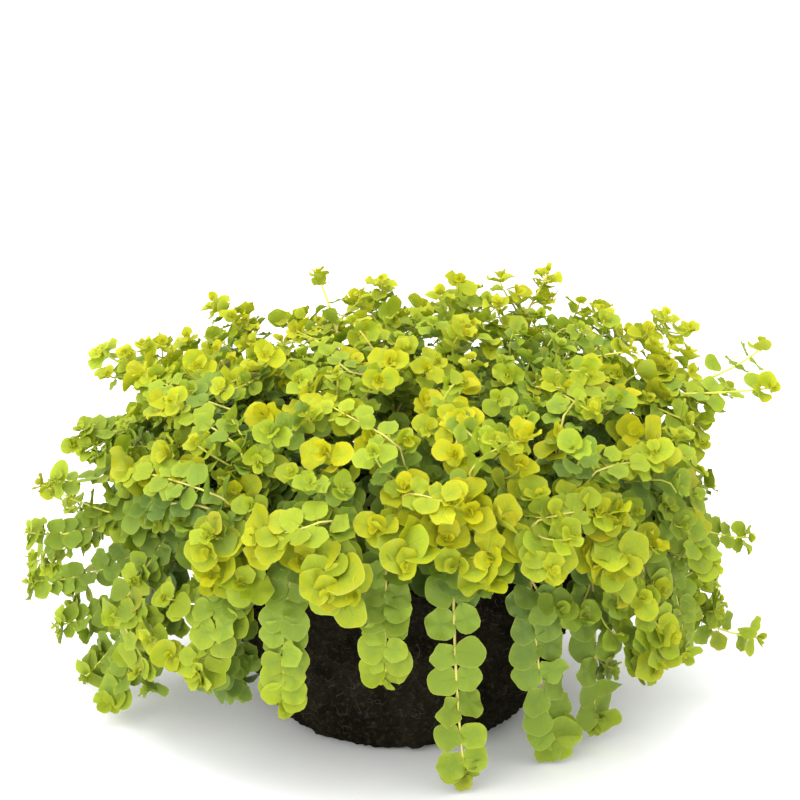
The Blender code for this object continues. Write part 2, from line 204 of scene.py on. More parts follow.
# %% The peat's finish
PEAT_DAMP = (0.0035, 0.0034, 0.0014)
PEAT_DRY = (0.011, 0.010, 0.0055)
PEAT_CRUMB = (0.034, 0.026, 0.014)
PEAT_FLECK = (0.085, 0.052, 0.024)
PATCH_NOISE = (26.0,)
CRUMB_NOISE = (330.0, 5.0, 0.7)
FLECK_NOISE = (520.0, 4.0, 0.7)
FLECK_STRETCH = (1.0, 1.0, 3.2)


def noise_at(place, scale, detail=3.0, rough=0.55):
    inputs = {"Vector": place, "Scale": scale, "Detail": detail, "Roughness": rough}
    return add_node(place.tree, "TexNoise", inputs)


def step_between(value, low, high, start=0.0, stop=1.0):
    """Smoothly from start to stop while the value goes from low to high."""
    inputs = dict(enumerate((value, low, high, start, stop)))
    return add_node(value.tree, "MapRange", inputs, interpolation_type="SMOOTHSTEP")


def blend(tree, share, first, second, way="MIX"):
    """Two colours in one: all of the first at share 0, all of the second at share 1."""
    first, second = ((*colour, 1.0) if isinstance(colour, tuple) else colour for colour in (first, second))
    return add_node(tree, "Mix", {0: share, 6: first, 7: second}, 2, data_type="RGBA", blend_type=way)


def set_surface(shader, colour, height, strength, depth):
    """A shader's colour, and its fine relief from a height, a strength and a depth."""
    bump = add_node(shader.id_data, "Bump", {"Height": height, "Strength": strength, "Distance": depth})
    fill(shader, {"Base Color": colour, "Normal": bump})


def peat_finish():
    finish, tree, shader = new_finish("peat_and_roots", 0.95, 0.06)
    place = add_node(tree, "TexCoord", {}, "Object")
    patches = step_between(noise_at(place, *PATCH_NOISE), 0.38, 0.62)
    crumbs = noise_at(place, *CRUMB_NOISE)
    stretched = add_node(tree, "Mapping", {"Vector": place, "Scale": FLECK_STRETCH})
    flecks = step_between(noise_at(stretched, *FLECK_NOISE), 0.585, 0.69)
    ground = blend(tree, patches, PEAT_DAMP, PEAT_DRY)
    ground = blend(tree, step_between(crumbs, 0.50, 0.72), ground, PEAT_CRUMB)
    set_surface(shader, blend(tree, flecks, ground, PEAT_FLECK), crumbs + flecks * 0.4, 0.9, 0.0012)
    return finish


peat = peat_finish()
print("finish", peat.name)

# %% [markdown]
# The ball keeps the shape of the basket it grew in, roughened by crumbs and broken roots. It starts from a
# merged copy of its solid, so it stands exactly where the solid stands. The copy is cut finer, and noise
# pushes each point in or out: broad lumps first, then crumbs.

# %% The root ball
MERGE_DISTANCE = 0.00002
SOFTENING_TURNS = 2
LATER_CUTS = 3
LUMP_HEIGHT, LUMP_SCALE = 0.0034, 34.0
CRUMB_HEIGHT, CRUMB_SCALE = 0.0034, 105.0
CRUMB_OCTAVES = (0.8, 2.1, 3)
GRIT_HEIGHT, GRIT_SCALE = 0.0020, 290.0
FLAT_UNDERSIDE = 0.0012
FULL_ROUGHNESS_AT = 0.006


def show(mesh, name):
    """A finished piece: it rides on the plant's one body."""
    piece = add_object(name, mesh)
    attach(piece, BODY)
    return piece


def cut_finer(bm):
    bmesh.ops.subdivide_edges(bm, edges=bm.edges, cuts=1, use_grid_fill=True)


def make_root_ball():
    bm = bmesh.new()
    bm.from_mesh(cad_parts["root_ball"].data)
    bmesh.ops.remove_doubles(bm, verts=bm.verts, dist=MERGE_DISTANCE)
    cut_finer(bm)
    for turn in range(SOFTENING_TURNS):
        upper = [vert for vert in bm.verts if vert.co.z > FLAT_UNDERSIDE]
        bmesh.ops.smooth_vert(bm, verts=upper, factor=0.5, use_axis_x=True, use_axis_y=True, use_axis_z=True)
    for cut in range(LATER_CUTS):
        cut_finer(bm)
    bm.normal_update()
    for vert in bm.verts:
        rise = min(1.0, max(0.0, vert.co.z - FLAT_UNDERSIDE) / FULL_ROUGHNESS_AT)
        lump = noise.noise(vert.co * LUMP_SCALE) * LUMP_HEIGHT
        crumb = noise.fractal(vert.co * CRUMB_SCALE, *CRUMB_OCTAVES) * CRUMB_HEIGHT
        grit = noise.noise(vert.co * GRIT_SCALE) * GRIT_HEIGHT
        vert.co += vert.normal * (lump + crumb + grit) * rise
        vert.co.z = max(vert.co.z, 0.0)
    mesh = finished_mesh(bm, "root_ball_peat", peat)
    mesh.shade_smooth()
    ball = show(mesh, "root_ball_peat")
    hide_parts("root_ball")
    return ball


ball = make_root_ball()
ball_tree = BVHTree.FromPolygons([vert.co for vert in ball.data.vertices],
                                 [tuple(face.vertices) for face in ball.data.polygons])
print("root ball faces", len(ball.data.polygons))

# %% [markdown]
# Roots, stems and leaf stalks are all thin tapering rods, so one straight rod is made by extruding a small
# circle ring by ring, and arrays bend copies of it along each line. Two directions are carried along the
# line with as little turning as can be, so that the rod never twists.

# %% Rods that bend along a line
Shape = namedtuple("Shape", "points corners starts blade")


def points_of(verts):
    return np.array([vert.co[:] for vert in verts])


def read_shape(bm, blade_of):
    """A shape as arrays, with each face corner's place on the blade."""
    bm.verts.index_update()
    pairs = [(face, vert) for face in bm.faces for vert in face.verts]
    corners = np.array([vert.index for face, vert in pairs])
    blade = np.array([blade_of(face, vert) for face, vert in pairs])
    starts = np.cumsum([0] + [len(face.verts) for face in bm.faces])[:-1]
    shape = Shape(points_of(bm.verts), corners, starts, blade)
    bm.free()
    return shape


def rod_shape(sides, rings):
    """A straight closed rod of unit length and radius, standing on its foot."""
    bm = bmesh.new()
    bmesh.ops.create_circle(bm, cap_ends=True, radius=1.0, segments=sides)
    cap = next(iter(bm.faces))
    for ring in range(rings - 1):
        cap = bmesh.ops.extrude_discrete_faces(bm, faces=[cap])["faces"][0]
        bmesh.ops.translate(bm, verts=cap.verts, vec=(0.0, 0.0, 1.0 / (rings - 1)))
    bmesh.ops.holes_fill(bm, edges=[edge for edge in bm.edges if edge.is_boundary])
    bmesh.ops.recalc_face_normals(bm, faces=bm.faces)
    if bm.calc_volume(signed=True) < 0.0:
        bmesh.ops.reverse_faces(bm, faces=bm.faces)
    return read_shape(bm, lambda face, vert: (vert.co.z, 0.5))


def size_of(vectors):
    return np.linalg.norm(vectors, axis=-1)


def unit(vectors):
    return vectors / np.maximum(size_of(vectors)[..., None], 1e-9)


def travelled(line):
    """How far each point of a line lies from its foot."""
    return np.concatenate([[0.0], np.cumsum(size_of(np.diff(line, axis=0)))])


def along_line(line, shares):
    """Points and directions at shares of a line's length."""
    ways = travelled(line)
    wanted = np.clip(shares, 0.0, 1.0) * ways[-1]
    places, slopes = (np.stack([np.interp(wanted, ways, column) for column in values.T], axis=-1)
                      for values in (line, np.gradient(line, ways, axis=0)))
    return places, unit(slopes)


def thickness(radii, share):
    return radii[0] + (radii[1] - radii[0]) * share


def bend_rod(rod, line, radii):
    """A copy of the rod with its middle along the line, thinning from foot to tip."""
    levels, ring = np.unique(rod.points[:, 2].round(6), return_inverse=True)
    middles, ways = along_line(line, levels)
    sides = np.zeros_like(ways)
    side = np.cross(ways[0], UP if abs(ways[0][2]) < 0.9 else (1.0, 0.0, 0.0))
    for index, way in enumerate(ways):
        side = unit(side - way * (side @ way))
        sides[index] = side
    fronts = np.cross(ways, sides)
    radius = thickness(radii, levels)[ring][:, None]
    return middles[ring] + (sides[ring] * rod.points[:, :1] + fronts[ring] * rod.points[:, 1:2]) * radius


fine_rod = rod_shape(3, 9)
print("fine rod faces", len(fine_rod.starts))

# %% [markdown]
# Many copies are joined into one mesh straight from arrays, which is far quicker than joining objects. Each
# part brings its points, faces, place on the blade, growth values and finish.

# %% Joining many copies
Part = namedtuple("Part", "points shape growth finish")
SHARP_FROM = math.radians(62.0)


def joined_mesh(name, parts, finishes):
    """One mesh. A part's points are one or more copies of its shape, with a growth row for each."""
    columns = []
    point_count = corner_count = 0
    for points, shape, growth, finish in parts:
        copies = len(points) // len(shape.points)
        order = np.arange(copies)[:, None]
        columns.append((points,
                        (shape.corners + order * len(shape.points)).ravel() + point_count,
                        (shape.starts + order * len(shape.corners)).ravel() + corner_count,
                        np.tile(shape.blade, (copies, 1)),
                        np.repeat(growth, len(points) // len(growth), axis=0),
                        np.full(copies * len(shape.starts), finish)))
        point_count += len(points)
        corner_count += copies * len(shape.corners)
    points, corners, starts, blade, growth, finish = map(np.concatenate, zip(*columns))
    mesh = bpy.data.meshes.new(name)
    mesh.vertices.add(point_count)
    mesh.loops.add(corner_count)
    mesh.polygons.add(len(starts))
    mesh.vertices.foreach_set("co", points.ravel())
    mesh.loops.foreach_set("vertex_index", corners.astype(np.int32))
    mesh.polygons.foreach_set("loop_start", starts.astype(np.int32))
    mesh.polygons.foreach_set("material_index", finish.astype(np.int32))
    mesh.update(calc_edges=True)
    mesh.uv_layers.new(name="blade").data.foreach_set("uv", blade.ravel())
    values = np.insert(growth, 3, 1.0, axis=1)
    mesh.attributes.new("growth", "FLOAT_COLOR", "POINT").data.foreach_set("color", values.ravel())
    for item in finishes:
        mesh.materials.append(item)
    mesh.shade_smooth()
    mesh.set_sharp_from_angle(angle=SHARP_FROM)
    return mesh


print("joining ready")

# %% [markdown]
# Fine feeder roots circle the ball where it touched the basket. Each is a short walk over the ball's skin:
# it steps ahead, wanders a little, and is set back on the nearest point of the skin.

# %% Root fibres
FIBRE_COUNT = 1300
FIBRE_STEPS = 9
FIBRE_STRIDES = (0.0006, 0.0020)
FIBRE_RADII = (0.00010, 0.00030)
FIBRE_HEIGHTS = (0.001, 0.122)
FIBRE_START_RADIUS = 0.13
FIBRE_TURN = 0.55
FIBRE_PROUD = (0.00005, 0.00045)
FIBRE_SUNK = -0.00015
FIBRE_LOWEST = 0.0006
FIBRE_CIRCLING = (-0.8, 0.8)
FIBRE_PALE = (0.044, 0.030, 0.016)
FIBRE_DARK = (0.014, 0.010, 0.006)


def fibre_line():
    angle = chance.uniform(0.0, math.tau)
    height = chance.uniform(*FIBRE_HEIGHTS)
    point = Vector((math.cos(angle) * FIBRE_START_RADIUS, math.sin(angle) * FIBRE_START_RADIUS, height))
    point, normal = ball_tree.find_nearest(point)[:2]
    heading = normal.cross(Vector(chance.normal(size=3))).normalized()
    heading = (heading + normal.cross(Vector(UP)) * chance.choice(FIBRE_CIRCLING)).normalized()
    stride = chance.uniform(*FIBRE_STRIDES)
    line = []
    for step in range(FIBRE_STEPS):
        proud = FIBRE_SUNK if step in (0, FIBRE_STEPS - 1) else chance.uniform(*FIBRE_PROUD)
        line.append(point + normal * proud)
        heading = (heading + Vector(chance.normal(size=3)) * FIBRE_TURN).normalized()
        point, normal = ball_tree.find_nearest(point + heading * stride)[:2]
        heading = (heading - normal * heading.dot(normal)).normalized()
    return np.array(line)


def growth_values(tree):
    """The three growth values of a joined mesh."""
    values = add_node(tree, "Attribute", {}, attribute_name="growth")
    red = add_node(tree, "SeparateColor", {0: values})
    return [Value(socket) for socket in red.socket.node.outputs]


def fibre_finish():
    finish, tree, shader = new_finish("feeder_root", 0.85)
    worn = noise_at(add_node(tree, "TexCoord", {}, "Object"), 240.0)
    pale = growth_values(tree)[0] ** 2.2 * step_between(worn, 0.35, 0.6, 0.35, 1.0)
    fill(shader, {"Base Color": blend(tree, pale, FIBRE_DARK, FIBRE_PALE)})
    return finish


def make_fibres():
    points, growth = [], []
    for fibre in range(FIBRE_COUNT):
        line = fibre_line()
        line[:, 2] = np.maximum(line[:, 2], FIBRE_LOWEST)
        radius = chance.uniform(*FIBRE_RADII)
        points.append(bend_rod(fine_rod, line, (radius, radius * 0.5)))
        growth.append((chance.random(), chance.random(), 0.0))
    part = Part(np.concatenate(points), fine_rod, np.array(growth), 0)
    return show(joined_mesh("root_fibres", [part], [fibre_finish()]), "root_fibres")


fibres = make_fibres()
print("root fibres", FIBRE_COUNT, "faces", len(fibres.data.polygons))

# %% [markdown]
# A main stem rises from the soil, leans out and arches over the edge of the ball. These rows are the ones
# that the solids were made from, in millimetres and degrees: the tip's place x y z, how far from the middle
# the stem roots, how high it rises, how its tip dips and turns aside, and its bare share.

# %% The main stems' rows
Stem = namedtuple("Stem", "x y z root rise dip aside bare")


def table(width, text):
    """Rows of so many numbers each from a plain table."""
    return np.array(text.split(), float).reshape(-1, width)


TRAILING_STEMS = table(8, """
    38 -130 9 92 92 107 -41 .44  94 -92 9 86 96 115 -86 .44  117 -68 12 94 88 102 -60 .42
    -66 -141 60 84 86 104 20 .40  -116 -121 66 88 86 118 88 .42  -8 -151 80 98 78 100 0 .40
    -40 -178 142 92 80 46 10 .38  -107 -154 158 96 84 26 0 .36  4 -184 160 78 84 38 0 .36
    49 -166 142 96 76 58 0 .38  84 -172 154 72 88 30 0 .36  151 -92 60 92 90 84 -30 .38
    128 -140 146 98 76 48 0 .34""")
RIGHT_STEMS = table(8, """
    225 -8 44 90 92 6 0 .30  172 -64 54 66 100 84 0 .30  200 40 56 80 96 80 0 .30  220 16 102 94 86 4 10 .30
    186 -66 112 58 98 52 0 .30  231 64 214 70 88 -34 10 .30  229 12 202 48 94 -8 0 .30
    176 -62 174 72 90 20 0 .30""")
LEFT_STEMS = table(8, """
    -190 60 212 64 86 -36 10 .30  -200 28 170 84 80 -8 0 .30  -206 -52 164 62 88 -8 0 .30
    -226 -32 124 90 82 -14 0 .30  -240 44 62 66 96 0 0 .30  -220 22 40 94 90 8 0 .30
    -198 -12 18 82 94 46 0 .30  -180 -40 11 92 90 56 12 .30  -172 -74 84 90 86 50 0 .30
    -148 -84 180 58 88 8 0 .30""")
BACK_STEMS = table(8, """
    36 138 14 92 92 104 20 .32  -44 144 40 88 92 100 0 .32  -122 106 24 92 96 60 -20 .32
    114 122 52 88 92 70 20 .32  -4 190 122 90 82 40 0 .32  82 178 132 92 82 30 0 .32
    -92 172 136 90 82 20 0 .32  162 134 124 92 84 20 0 .32  -168 120 124 92 84 20 0 .32""")
CROWN_STEMS = table(8, """
    -52 62 262 26 84 -46 -10 .36  -10 84 250 44 88 -70 0 .36  92 62 260 46 92 -56 0 .36
    44 100 244 62 84 -50 0 .36  -118 78 236 52 88 -34 0 .24  134 110 226 70 86 -24 0 .24
    -66 126 218 66 82 -20 0 .30  14 144 218 74 78 -16 0 .28  172 90 222 76 88 -16 0 .24
    -154 88 210 76 86 -14 0 .24""")
SHOULDER_STEMS = table(8, """
    -30 22 242 10 94 -28 0 .32  44 12 242 24 94 -26 0 .30  -48 -102 222 44 86 -2 0 .30
    34 -110 218 50 84 0 0 .30  -90 -50 230 34 92 -8 0 .30  96 -66 226 38 90 -6 0 .30
    -6 -60 240 18 92 -16 0 .30  142 10 226 40 92 -8 0 .30  -156 0 214 60 84 -6 0 .30""")
print("rows of trailing stems", len(TRAILING_STEMS))

# %% [markdown]
# Each family has its own habit. Stems that hang or arch twist their pairs flat into two rows like shingles.
# On top of the mound the leaves are smaller, stand all round and turn to the sky. A habit gives the leaf's
# size, its lift to the light, the gap between pairs and the tuft's size in leaves, whether pairs lie flat,
# the way that tips turn, how ripe the tip is, and the length over which leaves ripen.

# %% The families' habits
Habit = namedtuple("Habit", "leaf lift gap tuft flat way ripe ages")
TRAILING = Habit(0.0178, 0.60, 0.56, 1.30, True, "out", 0.10, 0.22)
RIGHT = Habit(0.0148, 0.85, 0.58, 1.20, True, "out", 0.20, 0.20)
LEFT = Habit(0.0145, 0.85, 0.58, 1.20, True, "out", 0.28, 0.20)
BACK = Habit(0.0165, 0.60, 0.62, 1.20, True, "out", 0.20, 0.18)
CROWN = Habit(0.0132, 0.70, 0.66, 1.05, False, "up", 0.10, 0.16)
SHOULDER = Habit(0.0145, 0.65, 0.60, 1.15, False, "out", 0.10, 0.16)
SINGLE = Habit(0.0180, 0.80, 1.04, 1.25, True, "out", 0.08, 0.45)
SHINGLED = Habit(0.0182, 0.80, 0.84, 1.25, True, "out", 0.14, 0.30)
REACHING = Habit(0.0194, 2.00, 0.62, 1.10, False, "out", 0.16, 0.20)
OWN_HABITS = {"trailing_stem_01": SINGLE, "trailing_stem_02": SHINGLED, "trailing_stem_03": SHINGLED,
              "crown_stem_01": CROWN._replace(leaf=0.0125, gap=0.95),
              **dict.fromkeys(("right_stem_01", "right_stem_04", "right_stem_06", "right_stem_07"), REACHING)}
LEAF_SHARES = {"trailing_stem_04": 0.92, "trailing_stem_05": 1.14, "trailing_stem_06": 0.88,
               "right_stem_02": 0.75, "right_stem_04": 0.78, "crown_stem_07": 0.80}
FAMILIES = (
    ("trailing_stem", TRAILING_STEMS, "trailing_leaf", TRAILING),
    ("right_stem", RIGHT_STEMS, "side_leaf", RIGHT),
    ("left_stem", LEFT_STEMS, "side_leaf", LEFT),
    ("back_stem", BACK_STEMS, "side_leaf", BACK),
    ("crown_stem", CROWN_STEMS, "crown_leaf", CROWN),
    ("shoulder_stem", SHOULDER_STEMS, "crown_leaf", SHOULDER),
)
PIECES = [f"{name}_{number:02d}" for name, rows, *rest in FAMILIES for number in range(1, len(rows) + 1)]
print("main stems", len(PIECES))

# %% [markdown]
# The foot of each stem is read from its own solid, so the curve starts exactly where the solid does. The
# rest of its line follows from its row: up out of the soil, over, and down to its tip.

# %% The main stems' lines
ROOT_LEAN = 0.030
PULL_SHARE = 0.42
RISE_SHARE = 0.25
FOOT_REACH = 0.004
SOIL_HEIGHTS = (0.120, 0.133)
MAIN_RADII = (0.00115, 0.00062)
BARE_SHARE = 0.8
Shoot = namedtuple("Shoot", "piece line radii bare habit")


def cubic(start, first, second, stop, count=49):
    """Points of a curve that leaves start towards first and comes into stop from second."""
    share = np.linspace(0.0, 1.0, count)[:, None]
    left = 1.0 - share
    return (start * left ** 3 + 3 * first * left ** 2 * share + 3 * second * left * share ** 2
            + stop * share ** 3)


def swing(first, second, angle):
    """Two directions at a right angle, turned in their own plane."""
    return first * np.cos(angle) + second * np.sin(angle), second * np.cos(angle) - first * np.sin(angle)


def outward(points):
    """The level direction away from the plant's middle."""
    return unit(points * (1.0, 1.0, 0.0))


def foot_of(node, root):
    """Where a stem's solid stands on the soil."""
    points = points_of(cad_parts[node].data.vertices)
    reach, height = size_of(points[:, :2]), points[:, 2]
    low = points[(abs(reach - root) < FOOT_REACH) & (height > SOIL_HEIGHTS[0]) & (height < SOIL_HEIGHTS[1])]
    ring = low[size_of(low - low[low[:, 2].argmin()]) < FOOT_REACH]
    return np.unique(ring.round(5), axis=0).mean(axis=0)


def main_line(node, row):
    stem = Stem(*row)
    tip = np.array((stem.x, stem.y, stem.z)) * MILLIMETRE
    rise = stem.rise * MILLIMETRE
    foot = foot_of(node, stem.root * MILLIMETRE)
    over = foot + UP * rise + outward(foot) * ROOT_LEAN
    away = outward(tip)
    heading = swing(away, np.cross(UP, away), math.radians(stem.aside))[0]
    heading = swing(heading, -UP, math.radians(stem.dip))[0]
    pull = PULL_SHARE * size_of(tip - over) + RISE_SHARE * rise
    return cubic(foot, over, tip - heading * pull, tip)


def main_shoots():
    shoots = []
    for name, rows, slot, family_habit in FAMILIES:
        for row in rows:
            node = PIECES[len(shoots)]
            habit = OWN_HABITS.get(node, family_habit)
            grown = LEAF_SHARES.get(node, 1.0) * chance.uniform(0.95, 1.05)
            habit = habit._replace(leaf=habit.leaf * grown)
            shoots.append(Shoot(len(shoots), main_line(node, row), MAIN_RADII, row[-1] * BARE_SHARE, habit))
    return shoots


shoots = main_shoots()
print("longest main stem", round(max(travelled(shoot.line)[-1] for shoot in shoots), 3))

# %% [markdown]
# The mound's outside is full of side shoots, each ending in a bright tuft. Their tips are spread evenly
# over a rounded, flat-topped form: points are thrown on it at random, and one is kept only if no other is
# near.

# %% The mound's form
LIGHT = unit(np.array((-0.05, -0.38, 0.90)))
LOW_LIGHT = unit(np.array((-0.05, -0.90, 0.48)))
MOUND_MIDDLE = np.array((0.0, 0.0, 0.090))
MOUND_HALF = np.array((0.174, 0.176, 0.137))
TIP_THROWS = 9000
LOWEST_TILT = -0.25
SIDE_LOWEST = 0.100


def on_mound_scale(points):
    """Points against the mound's size: how far out they lie, and how far up."""
    away = (points - MOUND_MIDDLE) / MOUND_HALF
    return away[..., :2], np.maximum(away[..., 2:], 0.0)


def mound_way(points):
    """The mound's outward direction at points on or near its skin."""
    level, climb = on_mound_scale(points)
    slope = np.concatenate([level * size_of(level)[..., None] ** 2, climb ** 3], axis=-1)
    return unit(slope / MOUND_HALF)


def mound_depth(points):
    """How deep points lie: 1 at the mound's skin and 0 at its middle."""
    level, climb = on_mound_scale(points)
    return (size_of(level) ** 4 + climb[..., 0] ** 4) ** 0.25


def throw_tips(spacing, front_lowest, first):
    """Points spread evenly over the mound, keeping clear of the first ones."""
    tilt = chance.uniform(LOWEST_TILT, math.pi / 2, TIP_THROWS)
    turn = chance.uniform(0.0, math.tau, TIP_THROWS)
    ways = np.stack([np.cos(tilt) * np.cos(turn), np.cos(tilt) * np.sin(turn), np.sin(tilt)], axis=1)
    skin = ways / mound_depth(ways * MOUND_HALF + MOUND_MIDDLE)[:, None]
    points = skin * MOUND_HALF + MOUND_MIDDLE
    frontness = np.clip(-outward(points)[:, 1], 0.0, 1.0)
    lowest = SIDE_LOWEST + (front_lowest - SIDE_LOWEST) * np.minimum(frontness * 1.5, 1.0)
    kept = list(first)
    for point in points[points[:, 2] > lowest]:
        if not kept or size_of(np.array(kept) - point).min() > spacing:
            kept.append(point)
    return np.array(kept[len(first):])


print("mound half as wide as", MOUND_HALF.round(3))

# %% [markdown]
# Some tufts catch the eye in the photograph, and those come first. Each is given by its pixel and its leaf
# size, and is set where the line of sight meets the mound. Those against the white also have a depth,
# because the line of sight passes over the mound there. The other tips fill the space between, below the
# skyline.

# %% The tips of the side shoots
NOTICED_TUFTS = table(3, """
    328 588 21  300 560 17  213 575 18  206 545 16  258 540 16  400 552 16  375 530 15  355 362 15
    462 384 17  325 451 17  371 435 15  425 400 15  471 426 15  455 455 15  273 373 15  264 414 15
    405 487 15  459 494 16  593 374 17  623 393 15  662 395 15  619 465 15  636 433 15  658 443 15
    558 432 15  530 563 17  560 560 16  590 562 16  143 471 16  182 476 16  150 381 15  215 350 15
    520 465 14  500 520 15  690 520 16  655 545 15  448 540 17  470 512 16  430 515 16  495 560 16
    350 600 18  240 585 17  150 640 15  165 598 15  138 672 14  128 612 14  170 655 14  120 690 14
    654 642 15  642 600 14  618 590 15  605 575 15  679 627 13  660 590 15""")
SKYLINE_TUFTS = table(4, """
    381 279 70 13  361 294 60 13  440 292 60 13  459 279 70 13  500 275 60 13  516 290 50 13  497 301 40 13
    548 269 70 12  553 297 60 13  580 301 80 13  602 309 80 13  627 330 70 14  648 329 60 15  667 313 70 14
    690 327 70 15  672 343 50 14  688 350 50 15  693 372 30 15  670 366 30 15  700 402 10 15  704 428 0 15
    716 403 20 13  729 386 30 13  213 299 90 13  249 308 80 13  143 343 40 14  124 352 40 13  108 374 40 13
    300 332 50 13  318 320 60 12  162 342 60 13  186 336 70 14  232 316 60 13  72 498 0 13  92 508 -10 14
    83 545 -20 14  30 556 0 13  47 562 -10 13  72 444 20 14  90 456 20 14  106 464 10 14  653 345 40 15
    656 363 30 14  672 402 0 14  702 442 -10 14""")
HANGING_TUFTS = table(4, """
    628 655 -85 15  614 668 -70 13  642 676 -85 13  236 678 -70 13  229 655 -85 14  560 610 -115 15
    585 618 -100 14  176 628 -70 14  146 690 -60 13  720 610 -20 13  618 608 -95 14  620 634 -90 14
    693 572 -30 15  696 597 -40 14  238 626 -90 14  241 650 -85 13  704 584 -20 16  720 598 -10 16
    712 612 -10 14""")
SKYLINE = table(2, """
    100 348  150 340  190 342  215 305  250 312  270 324  315 322  350 296  370 294  395 310  415 310
    450 288  530 286  560 285  575 304  610 320  650 326  690 324  700 372  750 376""")
OUTER_SPACING, OUTER_LOWEST = 0.0180, 0.160
INNER_LOWEST = 0.135
INNER_LAYERS = ((0.80, 0.0238), (0.60, 0.0260))
TIP_UNEVEN = 0.0060
TOP_UNEVEN = 0.0100
NOTICED_RIPE, NOTICED_AGES = -0.05, 0.40
SKYLINE_RIPE = 0.12
HANGING_RIPE, HANGING_ROW = 0.24, 580
TIP_RIPE = (0.10, 0.28, 0.14)
PATCH_SCALE, PATCH_LEVELS = 17.0, (-0.18, 0.22)
INNER_RIPE = 0.55
OUTER_LEAF = 0.0140
INNER_LEAF = 0.0170
SIDE_HABIT = Habit(OUTER_LEAF, 0.60, 0.58, 1.15, False, "out", 0.0, 0.16)
RUNNING_SHARE = 0.55
SIGHT_STEPS = np.linspace(1.0, 1.9, 1801)


def sight_through(column, row):
    """Points along the line of sight through a pixel of the frame."""
    across, high = column - FRAME_PIXELS / 2, FRAME_PIXELS / 2 - row
    sight = Vector((across / FOCAL_PIXELS, high / FOCAL_PIXELS, -1.0))
    sight.rotate(camera.rotation_euler)
    return np.array(camera.location) + np.array(sight) * SIGHT_STEPS[:, None]


def on_mound(column, row):
    """Where the line of sight first meets the mound, or else where it passes closest."""
    points = sight_through(column, row)
    depth = mound_depth(points)
    return points[(depth < max(1.0, depth.min() * 1.001)).argmax()]


def under_skyline(points):
    """Whether points stay below the mound's skyline as the camera sees it."""
    turn = np.array(camera.rotation_euler.to_matrix())
    right, high, back = ((points - np.array(camera.location)) @ turn).T
    column = FRAME_PIXELS / 2 - FOCAL_PIXELS * right / back
    row = FRAME_PIXELS / 2 + FOCAL_PIXELS * high / back
    return row > np.interp(column, *SKYLINE.T)


def side_tip(tip, leaf, **changes):
    return tip, SIDE_HABIT._replace(leaf=leaf, **changes)


def tips_at_depth(rows, way, ripe):
    """Tips where the line of sight through a pixel is as far back as the row's depth."""
    found = []
    for column, row, depth, size in rows:
        points = sight_through(column, row)
        tip = points[abs(points[:, 1] - depth * MILLIMETRE).argmin()]
        found.append(side_tip(tip, size * MILLIMETRE, gap=0.70, way=way, ripe=ripe))
    return found


def mound_tips():
    """Tips of the side shoots with the habit of each."""
    noticed = np.array([on_mound(column, row) for column, row, size in NOTICED_TUFTS])
    found = tips_at_depth(SKYLINE_TUFTS, "up", SKYLINE_RIPE)
    found += tips_at_depth(HANGING_TUFTS, "out", HANGING_RIPE)
    first = np.concatenate([noticed, [tip for tip, habit in found]])
    for tip, (column, row, size) in zip(noticed, NOTICED_TUFTS):
        ripe = NOTICED_RIPE if row < HANGING_ROW else HANGING_RIPE * chance.random()
        found.append(side_tip(tip, size * MILLIMETRE, ripe=ripe, tuft=1.3, gap=0.74, ages=NOTICED_AGES))
    outer = throw_tips(OUTER_SPACING, OUTER_LOWEST, first)
    ways = mound_way(outer)
    lift = chance.normal(0.0, TIP_UNEVEN, len(outer))
    lift = lift + ways[:, 2] * abs(chance.normal(0.0, TOP_UNEVEN, len(outer)))
    outer = outer + ways * lift[:, None]
    for tip in outer[under_skyline(outer)]:
        patch = np.interp(noise.noise(Vector(tip) * PATCH_SCALE), PATCH_LEVELS, (0.0, 1.0))
        leaf = OUTER_LEAF * chance.uniform(0.80, 1.14)
        way = "along" if chance.random() < RUNNING_SHARE else "out"
        ripe = TIP_RIPE[0] + TIP_RIPE[1] * patch + TIP_RIPE[2] * chance.random()
        found.append(side_tip(tip, leaf, way=way, ripe=ripe))
    for share, spacing in INNER_LAYERS:
        for tip in MOUND_MIDDLE + (throw_tips(spacing / share, INNER_LOWEST, []) - MOUND_MIDDLE) * share:
            found.append(side_tip(tip, INNER_LEAF * chance.uniform(0.9, 1.1), ripe=INNER_RIPE, tuft=1.4))
    return found


tips = mound_tips()
print("side shoot tips", len(tips))

# %% [markdown]
# A side shoot leaves its stem from the axil of a leaf, runs on with it for a little, then bends out through
# the mound and up to the light. Others run on under the mound's skin and only lift their tips. Each tip is
# joined to the stretch of main stem from which its bend is the easiest.

# %% Side shoots
SIDE_REACH = (0.010, 0.090)
SIDE_RADII = (0.00078, 0.00046)
SIDE_BARE = 0.05
START_STEPS, LAST_START = 26, 0.93
BACKWARD_COST = 0.030
OUT_OF_REACH = 1.0
RUN_LENGTH = 0.048
LIGHT_PULL, RUNNING_PULL = 0.60, 0.4
RUNNING_OUT = 0.30
UPRIGHT_OUT = 0.4
AHEAD_SHARE = 0.6
WANDER = 0.25
BEND_SHARE = 0.36


def starts_on(mains):
    """Places on the main stems where a side shoot can start, each with its direction and its stem."""
    found = []
    for shoot in mains:
        places, ways = along_line(shoot.line, np.linspace(shoot.bare, LAST_START, START_STEPS))
        found.append((places, ways, np.full(START_STEPS, shoot.piece)))
    return map(np.concatenate, zip(*found))


